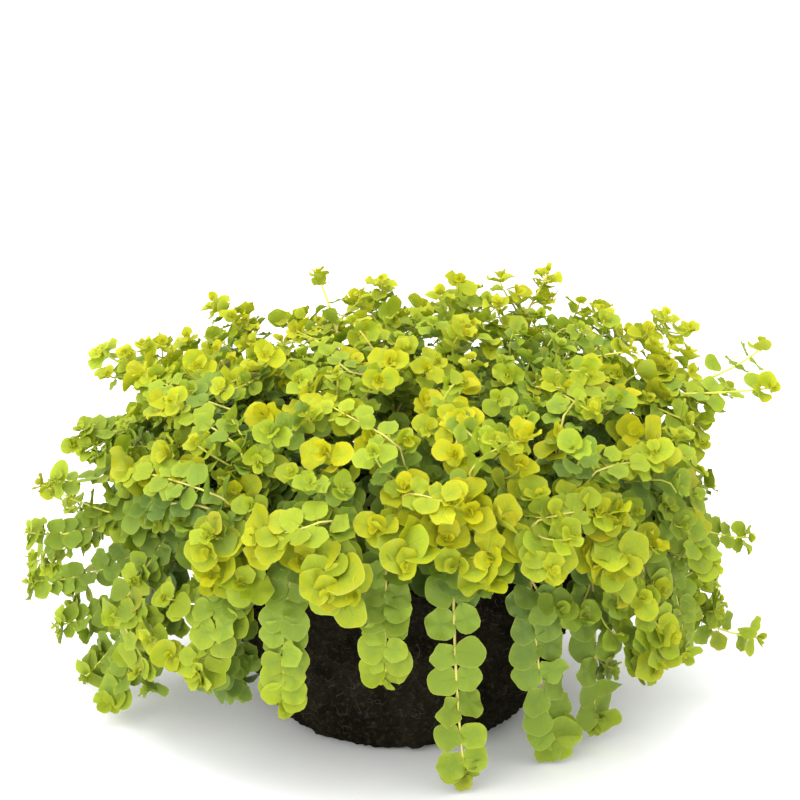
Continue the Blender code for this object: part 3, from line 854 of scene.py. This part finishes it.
def side_shoots(tips):
    grown = []
    for tip, habit in tips:
        span = tip - start_places
        reach = size_of(span)
        backward = 1.0 - (unit(span) * start_ways).sum(axis=1)
        cost = abs(reach - RUN_LENGTH) if habit.way == "along" else reach
        far = (reach < SIDE_REACH[0]) | (reach > SIDE_REACH[1])
        cost = cost + BACKWARD_COST * backward + OUT_OF_REACH * far
        best = cost.argmin()
        if cost[best] > OUT_OF_REACH:
            continue
        start, ahead, reach = start_places[best], unit(span[best]), reach[best]
        out = mound_way(tip)
        pull = LIGHT_PULL
        if habit.way == "along":
            out = unit(ahead - out * (ahead @ out) + chance.normal(0.0, WANDER, 3)) + RUNNING_OUT * out
            pull = LIGHT_PULL * RUNNING_PULL
        if habit.way == "up":
            out = out * UPRIGHT_OUT + UP
        out = unit(out + LIGHT * pull + chance.normal(0.0, WANDER, 3))
        first = start + unit(start_ways[best] + AHEAD_SHARE * ahead) * reach * BEND_SHARE
        line = cubic(start, first, tip - out * reach * BEND_SHARE, tip, 25)
        grown.append(Shoot(start_pieces[best], line, SIDE_RADII, SIDE_BARE, habit))
    return grown


start_places, start_ways, start_pieces = starts_on(shoots)
sides = side_shoots(tips)
print("side shoots", len(sides), "of", len(tips))

# %% [markdown]
# A few long side shoots arch over the mound's face: pale stems with bright leaves shingled along them. They
# are traced by three pixels each, foot to tip, and a leaf size, and stand a little proud of the mound.

# %% Arching sprays
SPRAYS = table(7, """
    238 414 195 403 148 380 17  240 448 206 428 168 408 16  222 498 186 484 136 470 17
    180 503 118 512 50 484 15  400 448 350 424 308 403 14  404 494 430 500 458 510 15
    560 425 582 398 592 378 17  592 474 620 466 652 462 15  470 470 500 452 530 446 14
    330 520 300 530 262 536 16  540 520 575 512 612 516 15  350 372 322 352 296 340 13""")
SPRAY_PROUD = (0.0, 0.005, 0.006)
SPRAY_HABIT = SIDE_HABIT._replace(gap=0.54, tuft=1.3, lift=0.50)


def through(points):
    """A smooth line through a few points."""
    points = np.array(points)
    slopes = np.gradient(points, axis=0) / 3.0
    guides = zip(points[:-1], (points + slopes)[:-1], (points - slopes)[1:], points[1:])
    return np.concatenate([cubic(*guide, 13)[:-1] for guide in guides] + [points[-1:]])


def spray_shoots():
    grown = []
    for *pixels, size in SPRAYS:
        line = [on_mound(column, row) for column, row in zip(pixels[::2], pixels[1::2])]
        line = [point + mound_way(point) * proud for point, proud in zip(line, SPRAY_PROUD)]
        start = size_of(start_places - line[0]).argmin()
        habit = SPRAY_HABIT._replace(leaf=size * MILLIMETRE)
        line = through([start_places[start], *line])
        grown.append(Shoot(start_pieces[start], line, SIDE_RADII, SIDE_BARE, habit))
    return grown


sprays = spray_shoots()
sides += sprays
print("sprays", len(sprays), "longest", round(max(travelled(spray.line)[-1] for spray in sprays), 3))

# %% [markdown]
# The stems that hang at the sides carry short shoots all the way down, which makes leafy columns of them.
# Those over the front of the ball stay single.

# %% Short shoots on the hanging stems
PLAIN_STEMS = ("trailing_stem_01", "trailing_stem_02", "trailing_stem_03", "trailing_stem_04",
               "trailing_stem_06", "right_stem_04")
SHORT_FIRST, SHORT_LAST_SHARE = 0.034, 0.62
SHORT_SPACING = 0.0155
SHORT_LENGTHS = (0.014, 0.032)
SHORT_TOP, SHORT_LOWEST = 0.185, 0.014
SHORT_SHARE = 0.45
SHORT_CLEARANCE = 0.146
SHORT_BARE = 0.15
SHORT_SIZES = (0.84, 1.0)
SHORT_RIPENS = (-0.1, 0.15)


def short_shoots(mains):
    grown = []
    for main in mains:
        length = travelled(main.line)[-1]
        if PIECES[main.piece] in PLAIN_STEMS:
            continue
        for back in np.arange(SHORT_FIRST, length * SHORT_LAST_SHARE, SHORT_SPACING):
            start, way = along_line(main.line, 1.0 - back / length)
            aside = unit(np.cross(way, chance.normal(size=3)) + 0.5 * outward(start))
            reach = chance.uniform(*SHORT_LENGTHS)
            tip = start + (way * 0.70 + aside * 0.62) * reach
            clear = size_of(tip[:2]) > SHORT_CLEARANCE and SHORT_LOWEST < tip[2] and start[2] < SHORT_TOP
            if not clear or chance.random() > SHORT_SHARE:
                continue
            out = unit(way * 0.4 + aside * 0.7 + UP * 0.25)
            line = cubic(start, start + way * reach * 0.35, tip - out * reach * 0.3, tip, 17)
            leaf = main.habit.leaf * chance.uniform(*SHORT_SIZES)
            ripe = main.habit.ripe + chance.uniform(*SHORT_RIPENS)
            habit = main.habit._replace(leaf=leaf, tuft=1.15, flat=False, ripe=ripe)
            grown.append(Shoot(main.piece, line, SIDE_RADII, SHORT_BARE, habit))
    return grown


shorts = short_shoots(shoots)
sides += shorts
print("short shoots", len(shorts))

# %% [markdown]
# A leaf is nearly round and notched where its stalk joins. It starts as a flattened ball, because that is
# closed, thin at its rim and has a row of edges for the midrib. Three shapes are enough: a light one for
# small leaves, a fair one for grown leaves and a smooth one for the largest.

# %% The leaf's shape
LEAF_THICKNESS = 0.00034
NOTCH, NOTCH_WIDTH = 0.17, 0.34
UNDERSIDE_SHIFT = 1.5
RIM_POINTS = (12, 16, 24)
YOUNG, GROWN, LARGE = range(3)


def leaf_shape(rim_points):
    """A flat round leaf of unit length along +X, its base at the origin, with its stalk behind it."""
    bm = bmesh.new()
    bmesh.ops.create_uvsphere(bm, u_segments=rim_points, v_segments=4, radius=0.5)
    for vert in bm.verts:
        angle = math.atan2(vert.co.y, -vert.co.x)
        notch = 1.0 - NOTCH * math.exp(-(angle / NOTCH_WIDTH) ** 2)
        vert.co.x = 0.5 + vert.co.x * notch
        vert.co.y *= notch
    shifts = {face: 0.0 if face.calc_center_median().z > 0.0 else UNDERSIDE_SHIFT for face in bm.faces}
    return read_shape(bm, lambda face, vert: (vert.co.x + shifts[face], vert.co.y + 0.5))


LEAF_SHAPES = [leaf_shape(count) for count in RIM_POINTS]
stalk = rod_shape(3, 2)
print("faces of a leaf", [len(shape.starts) for shape in LEAF_SHAPES])

# %% [markdown]
# Leaves stand in pairs. On a stem that hangs or arches the pairs twist flat into two rows that face
# outwards, and where they stand close they lie over the stem. Elsewhere each pair is turned a quarter from
# the last. Every shoot ends in a tuft of three small pairs that cup round the growing point. Each leaf is
# one row of numbers.

# %% Placing the pairs
Leaf = np.dtype([(name, "f8", 3) for name in ("base", "along", "face")]
                + [(name, "f8") for name in "piece size age cup fold droop stalk shape cut".split()])
MOUND_HEART = np.array((0.0, 0.0, 0.060))
TUFT = ((0.04, 0.24, 70.0), (0.18, 0.50, 44.0), (0.42, 0.80, 20.0))
TUFT_CURL = ((0.00, 0.14), (0.06, 0.34), (-0.05, 0.14))
TUFT_LEAN = {"out": 0.50, "along": 0.60, "up": 0.75}
FLAT_TUFT, FLAT_LEAN = 0.55, 0.12
TUFT_START = (-0.3, 0.3)
TUFT_TILT = 12.0
TUFT_SIZES, TUFT_LARGEST = (0.9, 1.1), 1.05
TUFT_AGE, TUFT_AGE_STEP, TUFT_AGES = 0.01, 0.06, (0.0, 0.05)
TUFT_RIPENS = 0.7
PAIR_CURL = ((0.00, 0.13), (0.02, 0.20), (0.0, 0.20))
PAIR_SIZES, PAIR_GAPS = (0.88, 1.08), (0.88, 1.12)
PAIR_AGE = 0.14
YOUNG_SHARE, FULL_GROWN_AT = 0.80, 0.060
LYING_TURN, LYING_AHEAD, LYING_TILT, LYING_UNEVEN = 9.0, (-4.0, 22.0), (6.0, 15.0), 0.16
ROUND_TURN, ROUND_TILT, ROUND_UNEVEN, ROUND_START = 17.0, (16.0, 12.0), 0.20, 0.6
CLOSING, OPEN_AT = 26.0, 0.022
LOOSE = 0.34
STALK_SHARES = (0.02, 0.12)
FLAT_STALK = -0.09
OVER_STEM = 1.0
FIRST_GAP = 0.82
HANG_SWELL = 0.18
SHINGLE = 0.75
FLAT_LIMIT = 0.72
YOUNG_SIZE, LARGE_SIZE = 0.0125, 0.0168
RIPE_LIMIT = 0.5
LIFT_HEIGHTS, LIFT_SWELL = (0.10, 0.19), 2.3
THIN_REACH, THIN_SHARE = (0.165, 0.225), 0.76
HIGH, HIGH_SHARE = (0.17, 0.22), 0.90


def facing_at(point, lift):
    """Where leaves turn to: outwards and forwards on hanging stems, and to the sky on top."""
    away = point - MOUND_HEART
    away[2] = max(away[2], 0.0)
    high = np.interp(point[2], LIFT_HEIGHTS, (0.0, 1.0))
    return unit(unit(away) + lift * (LIGHT * high * LIFT_SWELL + LOW_LIGHT * (1.0 - high)))


def thinned(point):
    """Leaves are smaller on the shoots that reach far out and on top of the mound."""
    far = np.interp(size_of(point[:2]), THIN_REACH, (1.0, THIN_SHARE))
    return far * np.interp(point[2], HIGH, (1.0, HIGH_SHARE))


def leaf_row(shoot, point, along, face, size, age, curl, order=1, radius=0.0):
    cup, fold, droop = (chance.uniform(*ends) for ends in curl)
    flat = shoot.habit.flat
    along = unit(along)
    face = unit(face - along * (face @ along))
    size = size if flat else size * thinned(point)
    young = size < YOUNG_SIZE or shoot.habit.ripe > RIPE_LIMIT
    kind = YOUNG if young else LARGE if size > LARGE_SIZE else GROWN
    stalk = FLAT_STALK if flat else chance.uniform(*STALK_SHARES)
    base = point + along * radius * 0.6
    return base, along, face, shoot.piece, size, age, cup, fold, droop * order, stalk, kind, 0.0


def tuft_rows(shoot, length):
    """The three small pairs round a growing tip."""
    rows = []
    habit = shoot.habit
    point, way = along_line(shoot.line, 1.0)
    facing = facing_at(point, habit.lift)
    lean = FLAT_LEAN if habit.flat else TUFT_LEAN[habit.way]
    axis = unit(way * lean + facing * (1.0 - lean) + chance.normal(0.0, LOOSE * 0.7, 3))
    first = unit(np.cross(axis, way if abs(axis @ way) < 0.95 else UP + 0.1))
    second = np.cross(axis, first)
    start = chance.uniform(*TUFT_START)
    for order, (back, size, raised) in enumerate(TUFT):
        out = swing(first, second, start + order * math.pi / 2 + chance.normal(0.0, LOOSE))[0]
        middle = along_line(shoot.line, 1.0 - back * habit.leaf / length)[0]
        for hand in (-1.0, 1.0):
            tilt = math.radians(raised * (FLAT_TUFT if habit.flat else 1.0) + chance.normal(0.0, TUFT_TILT))
            along, face = swing(out * hand, axis, tilt)
            grown = habit.leaf * min(TUFT_LARGEST, size * habit.tuft) * chance.uniform(*TUFT_SIZES)
            age = TUFT_AGE + TUFT_AGE_STEP * order + chance.uniform(*TUFT_AGES) + habit.ripe * TUFT_RIPENS
            rows.append(leaf_row(shoot, middle, along, face, grown, age, TUFT_CURL, order))
    return rows


def pair_rows(shoot, share, back, order):
    """One pair of leaves on the open stem."""
    rows = []
    habit = shoot.habit
    point, way = along_line(shoot.line, share)
    facing = facing_at(point, habit.lift)
    size = habit.leaf * min(1.0, YOUNG_SHARE + back / FULL_GROWN_AT)
    size = size * (1.0 - HANG_SWELL * (1.0 - max(0.0, -way[2])))
    age = min(1.0, PAIR_AGE + back / habit.ages + habit.ripe)
    lying = habit.flat and abs(way @ facing) < FLAT_LIMIT
    side = unit(np.cross(way, facing + way[::-1] * 0.05))
    proud = np.cross(side, way)
    turn = math.radians(chance.normal(0.0, LYING_TURN if lying else ROUND_TURN))
    turn += 0.0 if lying else order * math.pi / 2 + ROUND_START
    spread, top = swing(side, proud, turn)
    radius = thickness(shoot.radii, share)
    if lying and habit.gap < OVER_STEM:
        point = point + proud * radius
    for hand in (-1.0, 1.0):
        if lying:
            ahead, raised = np.radians((chance.uniform(*LYING_AHEAD), chance.normal(*LYING_TILT)))
            face = unit(top + 0.7 * facing + chance.normal(0.0, LYING_UNEVEN, 3))
            along = swing(swing(spread * hand, way, ahead)[0], face, raised)[0]
        else:
            raised = math.radians(chance.normal(*ROUND_TILT) + CLOSING * math.exp(-back / OPEN_AT))
            along, face = swing(spread * hand, way, raised)
            bent = max(0.0, min(1.0, 1.1 - 1.6 * (way @ facing)))
            along = unit(along - facing * (along @ facing) * SHINGLE * bent)
            face = face * (1.0 - 0.75 * bent) + facing * (0.5 + bent)
            face = unit(face + chance.normal(0.0, ROUND_UNEVEN, 3))
        grown = size * chance.uniform(*PAIR_SIZES)
        rows.append(leaf_row(shoot, point, along, face, grown, age, PAIR_CURL, radius=radius))
    return rows


def leaves_of(shoot):
    length = travelled(shoot.line)[-1]
    rows = tuft_rows(shoot, length)
    back = shoot.habit.leaf * FIRST_GAP
    order = 1
    while back < length * (1.0 - shoot.bare):
        rows += pair_rows(shoot, 1.0 - back / length, back, order)
        back += shoot.habit.leaf * shoot.habit.gap * chance.uniform(*PAIR_GAPS)
        order += 1
    return rows


leaves = np.array([row for shoot in shoots + sides for row in leaves_of(shoot)], dtype=Leaf)
print("leaves", len(leaves))

# %% [markdown]
# Real leaves push each other aside as they grow. Here each leaf is taken for a flat disc that tries a few
# small turns and keeps the one in which it cuts least into its neighbours, the ball and the ground. Three
# rounds part most of them.

# %% Leaves make room for each other
TURNS = np.radians(table(3, """
    0 0 0  14 0 0  -14 0 0  0 20 0  0 -20 0  0 0 22  0 0 -22  26 0 0  -26 0 0  14 18 0  14 -18 0  -14 18 0
    -14 -18 0  0 0 40  0 0 -40  24 0 26  24 0 -26  -24 0 26  -24 0 -26"""))
DISC_SHARE = 0.46
MOVE_COST = 0.0025
SOLID_COST = 4.0
ROUNDS = 3
BALL_CLEARANCE = 0.0020
FLOOR_CLEARANCE = 0.0010
NEARLY_LEVEL = 0.06
LONG_CUT = 4 * MILLIMETRE


def turned(along, face, turns):
    """The leaf's directions after each turn: its tip up or down, to a side, and rolled."""
    tilt, sweep, roll = turns.T[..., None]
    raised, top = swing(along, face, tilt)
    swept = swing(raised, np.cross(top, raised), sweep)[0]
    return swept, swing(top, np.cross(top, swept), roll)[0]


def cut_lengths(middles, faces, radius, others, other_faces, other_radii):
    """How long a line each trial disc shares with each other disc."""
    line = np.cross(faces[:, None], other_faces)
    size = size_of(line)
    line = line / np.maximum(size, 1e-6)[..., None]
    inward = np.cross(faces[:, None], line)
    gap = others - middles[:, None]
    slope = (inward * other_faces).sum(axis=2)
    slope = np.where(abs(slope) < 1e-6, 1e-6, slope)
    off = (gap * other_faces).sum(axis=2) / slope
    rest = middles[:, None] + inward * off[..., None] - others
    shift = (rest * line).sum(axis=2)
    half = radius ** 2 - off ** 2
    other_half = other_radii ** 2 - ((rest ** 2).sum(axis=2) - shift ** 2)
    crossing = (half > 0.0) & (other_half > 0.0) & (size >= NEARLY_LEVEL)
    half, other_half = np.sqrt(np.maximum((half, other_half), 0.0))
    shared = np.minimum(half, other_half - shift) - np.maximum(-half, -other_half - shift)
    return np.where(crossing, np.maximum(shared, 0.0), 0.0).sum(axis=1)


def measure_ball():
    """The ball's radius at a row of heights."""
    points = points_of(ball.data.vertices)
    edges = np.linspace(0.0, points[:, 2].max(), 15)
    level = np.digitize(points[:, 2], edges)
    radii = [size_of(points[level == step, :2]).max() for step in range(1, len(edges))]
    return (edges[:-1] + edges[1:]) / 2, radii


def hits_solid(points):
    """How far points lie inside the ball or under the floor."""
    reach, height = size_of(points[..., :2]), points[..., 2]
    inside = np.interp(height, BALL_HEIGHTS, BALL_RADII, left=0.0, right=0.0) + BALL_CLEARANCE - reach
    inside = np.where(height < BALL_HEIGHTS[-1] + BALL_CLEARANCE, inside, 0.0)
    return np.maximum(inside, 0.0) + np.maximum(FLOOR_CLEARANCE - height, 0.0)


def make_room(leaves):
    home = list(zip(leaves["along"].copy(), leaves["face"].copy()))
    bend = size_of(TURNS) * MOVE_COST
    reach = leaves["size"] * (leaves["stalk"] + 0.5)
    radii = leaves["size"] * DISC_SHARE
    for turn in range(ROUNDS):
        middles = leaves["base"] + leaves["along"] * reach[:, None]
        finder = KDTree(len(leaves))
        for index, middle in enumerate(middles):
            finder.insert(middle, index)
        finder.balance()
        for index, leaf in enumerate(leaves):
            near = [found[1] for found in finder.find_range(middles[index], radii[index] + radii.max())]
            near = np.array([other for other in near if other != index], dtype=int)
            along, face = turned(*home[index], TURNS)
            trial = leaf["base"] + along * reach[index]
            others = middles[near], leaves["face"][near], radii[near]
            cost = bend + cut_lengths(trial, face, radii[index], *others)
            across = np.cross(face, along)
            far = leaf["size"] * 0.5
            rim = np.stack([trial + along * far, trial + across * far, trial - across * far], axis=1)
            cost += SOLID_COST * hits_solid(rim).max(axis=1)
            best = cost.argmin()
            leaf["along"], leaf["face"], leaf["cut"] = along[best], face[best], cost[best]
            middles[index] = trial[best]


BALL_HEIGHTS, BALL_RADII = measure_ball()
make_room(leaves)
print("leaves that still cut more than 4 mm", int((leaves["cut"] > LONG_CUT).sum()))

# %% [markdown]
# Now each leaf gets its own shape. Copies of the flat leaf are widened, folded, cupped, bent down at the
# tip and given a wavy rim, all at once in arrays, then carried to their places.

# %% Shaping and placing the copies
STALK_THICKNESS = 0.00042
WIDTHS = (1.00, 1.22)
WAVE_HEIGHTS = (0.035, 0.115)
WAVE_COUNTS = (2.0, 3.0, 4.0, 5.0)
YOUNG_WAVE = 1.3
SKEW = 0.035
THREE_LOBES, FIVE_LOBES = 0.044, 0.034
FOLD_NARROWS = 0.25
# Deep in the mound leaves are aged, and so darkened, partly for their real age and partly as painted shade;
# on top they are made younger and paler, partly as young growth and partly as painted light.
DEEPEST_SHADE, DEEP_AGE_AND_SHADE = 0.6, 1.1
HIGH_YOUTH_AND_LIGHT = 0.10
HIGH_PAINTED_LIGHT = 0.68
BLUSH_CHANCE = 0.030
BLUSH_RANGE = (0.10, 0.42)
BLUSH_FROM_AGE = 0.12


def carried(rows, long, across, lift):
    """Copies carried from their own directions to each leaf's place."""
    sides = np.cross(rows["face"], rows["along"])
    placed = rows["base"][:, None] + rows["along"][:, None] * long[..., None]
    placed = placed + sides[:, None] * across[..., None] + rows["face"][:, None] * lift[..., None]
    return placed.reshape(-1, 3)


def shaped_leaves(rows, shape, random):
    """Points of every leaf in rows, as copies of the shape."""
    count = (len(rows), 1)
    x, y, z = shape.points.T[:, None]
    wide = random.uniform(*WIDTHS, count)
    wave = random.uniform(*WAVE_HEIGHTS, count) * np.where(rows["shape"] == YOUNG, YOUNG_WAVE, 1.0)[:, None]
    waves = random.choice(WAVE_COUNTS, count)
    phase = random.uniform(0.0, math.tau, count)
    skew = random.normal(0.0, SKEW, count)
    centre = x - 0.5
    spread = np.hypot(centre, y) * 2.0
    angle = np.arctan2(y, centre)
    lobes = THREE_LOBES * np.sin(3.0 * angle + phase) + FIVE_LOBES * np.sin(5.0 * angle - 2.0 * phase)
    outline = 1.0 + lobes * spread
    size, stalk, fold, cup, droop = (rows[name][:, None] for name in "size stalk fold cup droop".split())
    long = stalk + (0.5 + centre * outline)
    across = (y * outline * wide + skew * centre ** 2) * (1.0 - FOLD_NARROWS * fold)
    ripple = wave * spread ** 3 * np.sin(waves * angle + phase)
    lift = fold * abs(y) + cup * spread ** 2 * 0.5 - droop * x ** 2 + ripple
    return carried(rows, long * size, across * size, lift * size + z * LEAF_THICKNESS)


def shaped_stalks(rows):
    """The short stalks between stem and blade."""
    x, y, z = stalk.points.T[:, None]
    length = (rows["size"] * (rows["stalk"] + NOTCH * 0.5 + 0.10))[:, None]
    width = STALK_THICKNESS * (1.0 - 0.35 * z)
    return carried(rows, z * length, x * width, y * width * 0.7 - STALK_THICKNESS * 0.35)


def growth_of(rows, random):
    """Age, a chance tone and a blush for each leaf. Deep leaves are older and darker green, partly for their
    age and partly as painted shade; leaves on top are younger and paler, partly as young growth and partly as
    painted light.
    """
    middle = rows["base"] + rows["along"] * rows["size"][:, None] * 0.6
    # Age grows with depth in the mound: partly real age, partly painted shade.
    deep = np.clip(1.0 - mound_depth(middle), 0.0, DEEPEST_SHADE)
    high = np.interp(middle[:, 2], HIGH, (0.0, 1.0))
    age = np.clip(rows["age"] + deep * DEEP_AGE_AND_SHADE - HIGH_YOUTH_AND_LIGHT * high, 0.0, 1.0)
    # On top the chance tone is pushed up as painted light.
    tone = random.random(len(rows)) * (1.0 - HIGH_PAINTED_LIGHT * high) + HIGH_PAINTED_LIGHT * high
    blush = np.where(random.random(len(rows)) < BLUSH_CHANCE, random.uniform(*BLUSH_RANGE, len(rows)), 0.0)
    blush[(rows["age"] < BLUSH_FROM_AGE) | (rows["shape"] == LARGE)] = 0.0
    return np.stack([age, tone, blush], axis=1)


print("leaf shaping ready")

# %% [markdown]
# A young leaf is clear yellow and an old one mid green, with a paler rim that is partly the leaf's margin and
# partly a painted highlight, a crease and faint curved veins darkened with painted shade, and here and there
# a blush of orange. Age, tone and blush come from the growth values, and the veins from the blade's own map.
# Age also holds painted shade deep in the mound, and tone holds painted light on top. Some light passes
# through, which makes the inner leaves glow.

# %% The leaf's finish
LEAF_AGES = (
    (0.00, (0.670, 0.635, 0.013)),
    (0.12, (0.585, 0.610, 0.021)),
    (0.30, (0.452, 0.548, 0.036)),
    (0.62, (0.310, 0.432, 0.052)),
    (1.00, (0.200, 0.312, 0.064)),
)
LEAF_BLUSH = (0.74, 0.47, 0.03)
LEAF_RIM_AND_HIGHLIGHT = (0.80, 0.82, 0.16)
LEAF_CREASE_SHADE = (0.24, 0.36, 0.03)
LEAF_UNDERSIDE = (0.46, 0.56, 0.14)
LEAF_THROUGH = 0.46
VEIN_LEAN, VEIN_COUNT = 0.80, 6.2


def ramp(share, stops):
    """A colour that runs through the stops, each a place from 0 to 1 and a colour."""
    colour = add_node(share.tree, "ValToRGB", {0: share})
    run = colour.socket.node.color_ramp
    run.interpolation = "EASE"
    while len(run.elements) < len(stops):
        run.elements.new(0.5)
    for mark, (place, tint) in zip(run.elements, stops):
        mark.position = place
        mark.color = (*tint, 1.0)
    return colour


def leaf_finish():
    finish, tree, shader = new_finish("golden_leaf", 0.46, 0.20)
    age, tone, blush = growth_values(tree)
    along = add_node(tree, "SeparateXYZ", {0: add_node(tree, "UVMap", {}, uv_map="blade")})
    across = abs(Value(along.socket.node.outputs[1]) - 0.5)
    under = along > 1.2
    along = along - under * UNDERSIDE_SHIFT
    centre = along - 0.5
    spread = (centre * centre + across * across) ** 0.5
    # The paler rim is partly the leaf's own paler margin and partly a painted highlight along the thin edge.
    rim = step_between(spread, 0.455, 0.50)
    # The darker midrib is painted shade in the crease of the fold, and the veins take the same colour as
    # painted shade in their grooves.
    midrib = step_between(across, 0.004, 0.020, 1.0, 0.0) * step_between(along, 0.30, 0.85, 1.0, 0.0)
    vein = ((along - across ** 0.85 * VEIN_LEAN) * VEIN_COUNT).sum("FRACT")
    vein = step_between(abs(vein - 0.5), 0.04, 0.13, 1.0, 0.0) * step_between(spread, 0.30, 0.46, 1.0, 0.0)
    mottle = noise_at(add_node(tree, "TexCoord", {}, "Object"), 260.0)
    # Age here also carries the painted shade given deep in the mound, as well as real age.
    older = age + step_between(mottle, 0.25, 0.75, -0.05, 0.05)
    older = older + step_between(spread, 0.10, 0.48, 0.07, -0.05)
    # The chance tone brightens or dims each leaf, and lifts those on top of the mound as painted light.
    tone_brightness_and_top_light = step_between(tone, 0.0, 1.0, 0.86, 1.09)
    colour = blend(tree, 1.0, ramp(older, LEAF_AGES), tone_brightness_and_top_light, "MULTIPLY")
    reddened = blush * step_between(spread, 0.05, 0.48, 0.25, 0.9)
    for share, tint in ((reddened, LEAF_BLUSH), (vein * 0.13, LEAF_CREASE_SHADE), (rim * 0.30, LEAF_RIM_AND_HIGHLIGHT),
                        (midrib * 0.30, LEAF_CREASE_SHADE), (under * 0.25, LEAF_UNDERSIDE)):
        colour = blend(tree, share, colour, tint)
    set_surface(shader, colour, midrib * -1.0 + vein * -0.5 + mottle * 0.5, 0.50, 0.0004)
    through = add_node(tree, "BsdfTranslucent", {"Color": colour})
    both = add_node(tree, "MixShader", {0: LEAF_THROUGH, 1: Value(shader.outputs[0]), 2: through})
    fill(tree.nodes["Material Output"], {"Surface": both})
    return finish


leaf_skin = leaf_finish()
print("finish", leaf_skin.name)

# %% [markdown]
# Stems are pale straw near their tips and tan with a little pink further back. Age runs along the stem in
# its growth values, and noise breaks it up.

# %% The stem's finish
STEM_AGES = ((0.0, (0.60, 0.62, 0.06)), (0.45, (0.52, 0.47, 0.10)), (1.0, (0.38, 0.25, 0.09)))
STEM_PINK = (0.54, 0.31, 0.15)


def stem_finish():
    finish, tree, shader = new_finish("straw_stem", 0.5)
    place = add_node(tree, "TexCoord", {}, "Object")
    worn = noise_at(place, 160.0)
    colour = ramp(growth_values(tree)[0] + step_between(worn, 0.3, 0.7, -0.12, 0.12), STEM_AGES)
    pink = step_between(noise_at(place, 70.0), 0.48, 0.66, 0.0, 0.25)
    set_surface(shader, blend(tree, pink, colour, STEM_PINK), worn, 0.3, 0.0003)
    return finish


straw = stem_finish()
print("finish", straw.name)

# %% [markdown]
# Last, every main stem is put together with its side shoots and all their leaves as one piece that stands
# for that stem's solid.

# %% One piece for every main stem
LEAF_FINISH, STEM_FINISH = 0, 1
PIECE_SEED = 100
main_rod = rod_shape(6, 22)
side_rod = rod_shape(5, 9)


def stem_parts(piece):
    parts = []
    for group, rod, foot_age in ((shoots, main_rod, 1.0), (sides, side_rod, 0.5)):
        for shoot in group:
            if shoot.piece == piece:
                age = foot_age - foot_age * rod.points[:, 2]
                growth = np.outer(age, (1.0, 0.0, 0.0)) + (0.0, 0.5, 0.0)
                parts.append(Part(bend_rod(rod, shoot.line, shoot.radii), rod, growth, STEM_FINISH))
    return parts


def leaf_parts(piece):
    parts = []
    rows = leaves[leaves["piece"] == piece]
    random = np.random.default_rng(PIECE_SEED + piece)
    for kind, shape in enumerate(LEAF_SHAPES):
        some = rows[rows["shape"] == kind]
        if len(some):
            growth = growth_of(some, random)
            parts.append(Part(shaped_leaves(some, shape, random), shape, growth, LEAF_FINISH))
            if kind != YOUNG:
                parts.append(Part(shaped_stalks(some), stalk, growth, LEAF_FINISH))
    return parts


def make_stem_pieces():
    triangles = 0
    slots = [slot for name, rows, slot, habit in FAMILIES for row in rows]
    for piece, (node, slot) in enumerate(zip(PIECES, slots)):
        mesh = joined_mesh(node + "_foliage", stem_parts(piece) + leaf_parts(piece), [leaf_skin, straw])
        item = show(mesh, node + "_foliage")
        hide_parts(node)
        triangles += len(mesh.loops) - 2 * len(mesh.polygons)
    return triangles


triangles = make_stem_pieces()
print("foliage pieces", len(PIECES), "triangles", triangles)
